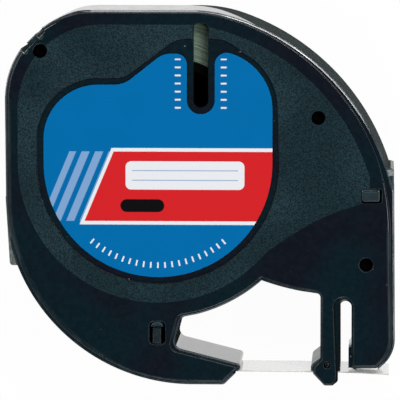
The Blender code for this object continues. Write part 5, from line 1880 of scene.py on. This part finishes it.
@dataclass
class Studio:
    """Pale floor, soft light all round and the camera of the photograph."""

    form: CaseForm
    floor_size: float = 6.0
    floor_drop: float = 0.05
    floor_share: float = 0.97
    view_width: float = 61.84
    view_centre: tuple[float, float] = (0.177, -0.127)
    eye_right: float = 27.6
    eye_up: float = 59.4
    eye_height: float = 630.0
    sensor: float = 36.0
    lamps: tuple[Lamp, ...] = (
        Lamp("right_strip", -8.0, 50.0, 1.0, 0.32, 0.14, 1.3),
        Lamp("upper_right_strip", 40.0, 50.0, 1.0, 0.32, 0.14, 2.0),
        Lamp("high_strip", 64.0, 50.0, 1.0, 0.32, 0.14, 2.0),
        Lamp("top_strip", 88.0, 50.0, 1.0, 0.32, 0.14, 0.8),
        Lamp("left_fill", 155.0, 42.0, 1.2, 0.9, 0.22, 4.6),
        Lamp("low_fill", 285.0, 38.0, 1.2, 0.5, 0.4, 6.2),
    )

    def seen_share(self, tree: bpy.types.NodeTree) -> Socket:
        """One for rays that show the background: from the camera, from gloss and through glass."""
        path = tree.nodes.new("ShaderNodeLightPath")
        result = path.outputs["Is Camera Ray"]
        for name in ("Is Glossy Ray", "Is Transmission Ray"):
            larger = tree.nodes.new("ShaderNodeMath")
            larger.operation = "MAXIMUM"
            tree.links.new(result, larger.inputs[0])
            tree.links.new(path.outputs[name], larger.inputs[1])
            result = larger.outputs[0]
        return result

    def build_floor(self) -> None:
        """Lay a white floor that glows for seen rays and still takes the shadow."""
        half = self.floor_size / 2
        level = -self.floor_drop * MM
        corners = [(-half, -half, level), (half, -half, level), (half, half, level), (-half, half, level)]
        mesh = bpy.data.meshes.new("studio_floor")
        mesh.from_pydata(corners, [], [(0, 1, 2, 3)])
        floor = bpy.data.objects.new("studio_floor", mesh)
        bpy.context.scene.collection.objects.link(floor)
        material = bpy.data.materials.new("studio_floor")
        material.use_nodes = True
        tree = material.node_tree
        tree.nodes.clear()
        diffuse = tree.nodes.new("ShaderNodeBsdfDiffuse")
        diffuse.inputs["Color"].default_value = (0.9, 0.9, 0.9, 1.0)
        glow = tree.nodes.new("ShaderNodeEmission")
        glow.inputs["Color"].default_value = (1.0, 1.0, 1.0, 1.0)
        share = tree.nodes.new("ShaderNodeMath")
        share.operation = "MULTIPLY"
        share.inputs[1].default_value = self.floor_share
        tree.links.new(self.seen_share(tree), share.inputs[0])
        blend = tree.nodes.new("ShaderNodeMixShader")
        tree.links.new(share.outputs[0], blend.inputs[0])
        tree.links.new(diffuse.outputs[0], blend.inputs[1])
        tree.links.new(glow.outputs[0], blend.inputs[2])
        clear = tree.nodes.new("ShaderNodeBsdfTransparent")
        side = tree.nodes.new("ShaderNodeNewGeometry")
        shown = tree.nodes.new("ShaderNodeMixShader")
        tree.links.new(side.outputs["Backfacing"], shown.inputs[0])
        tree.links.new(blend.outputs[0], shown.inputs[1])
        tree.links.new(clear.outputs[0], shown.inputs[2])
        output = tree.nodes.new("ShaderNodeOutputMaterial")
        tree.links.new(shown.outputs[0], output.inputs["Surface"])
        mesh.materials.append(material)

    def build_world(self) -> None:
        """Surround the set with light that is bright at the horizon and dim overhead."""
        world = bpy.data.worlds.new("studio")
        bpy.context.scene.world = world
        world.use_nodes = True
        tree = world.node_tree
        place = tree.nodes.new("ShaderNodeTexCoord")
        split = tree.nodes.new("ShaderNodeSeparateXYZ")
        tree.links.new(place.outputs["Generated"], split.inputs[0])
        fall = tree.nodes.new("ShaderNodeMapRange")
        fall.interpolation_type = "SMOOTHSTEP"
        fall.inputs["From Min"].default_value = 0.25
        fall.inputs["From Max"].default_value = 0.73
        fall.inputs["To Min"].default_value = 1.0
        fall.inputs["To Max"].default_value = 0.12
        tree.links.new(split.outputs["Z"], fall.inputs["Value"])
        path = tree.nodes.new("ShaderNodeLightPath")
        seen = tree.nodes.new("ShaderNodeMath")
        seen.operation = "MAXIMUM"
        tree.links.new(fall.outputs[0], seen.inputs[0])
        tree.links.new(path.outputs["Is Camera Ray"], seen.inputs[1])
        tree.links.new(seen.outputs[0], tree.nodes["Background"].inputs["Strength"])

    def build_camera(self) -> None:
        """Set the camera over the face, a little above and to the right of it, with no shift."""
        middle = Vector((self.view_centre[0], self.view_centre[1], self.form.depth)) * MM
        away = Vector((self.eye_right, self.eye_up, self.eye_height)) * MM
        back = away.normalized()
        up = (Vector((0, 1, 0)) - back * back.y).normalized()
        side = up.cross(back)
        turn = Matrix((side, up, back)).transposed().to_4x4()
        data = bpy.data.cameras.new("photo_camera")
        data.sensor_width = self.sensor
        data.lens = self.sensor * away.length / (self.view_width * MM)
        data.clip_start = 0.01
        data.clip_end = 20.0
        camera = bpy.data.objects.new("photo_camera", data)
        camera.matrix_world = Matrix.Translation(middle + away) @ turn
        bpy.context.scene.collection.objects.link(camera)
        bpy.context.scene.camera = camera

    def build(self) -> None:
        """Set up floor, world, lamps, camera and the plain view transform."""
        self.build_floor()
        self.build_world()
        for lamp in self.lamps:
            lamp.build()
        self.build_camera()
        bpy.context.scene.view_settings.view_transform = "Standard"


def main() -> None:
    """Build every sub-assembly in order, then the studio."""
    logging.basicConfig(level=logging.INFO, format="%(name)s: %(message)s")
    form = CaseForm()
    marks = CoverMarks()
    cover = FrontCover(form, marks)
    Studio(form).build()
    cover.build()
    RearShell(form, marks).build()
    FaceLabel(cover).build()
    TapeSpool().build()
    TapeLead(form).build()
    GuideRoller("root_roller", Body.ROOT_GUIDE).build()
    GuideRoller("arm_roller", Body.ARM_GUIDE).build()
    HiddenWorks().dress()


if __name__ == "__main__":
    main()
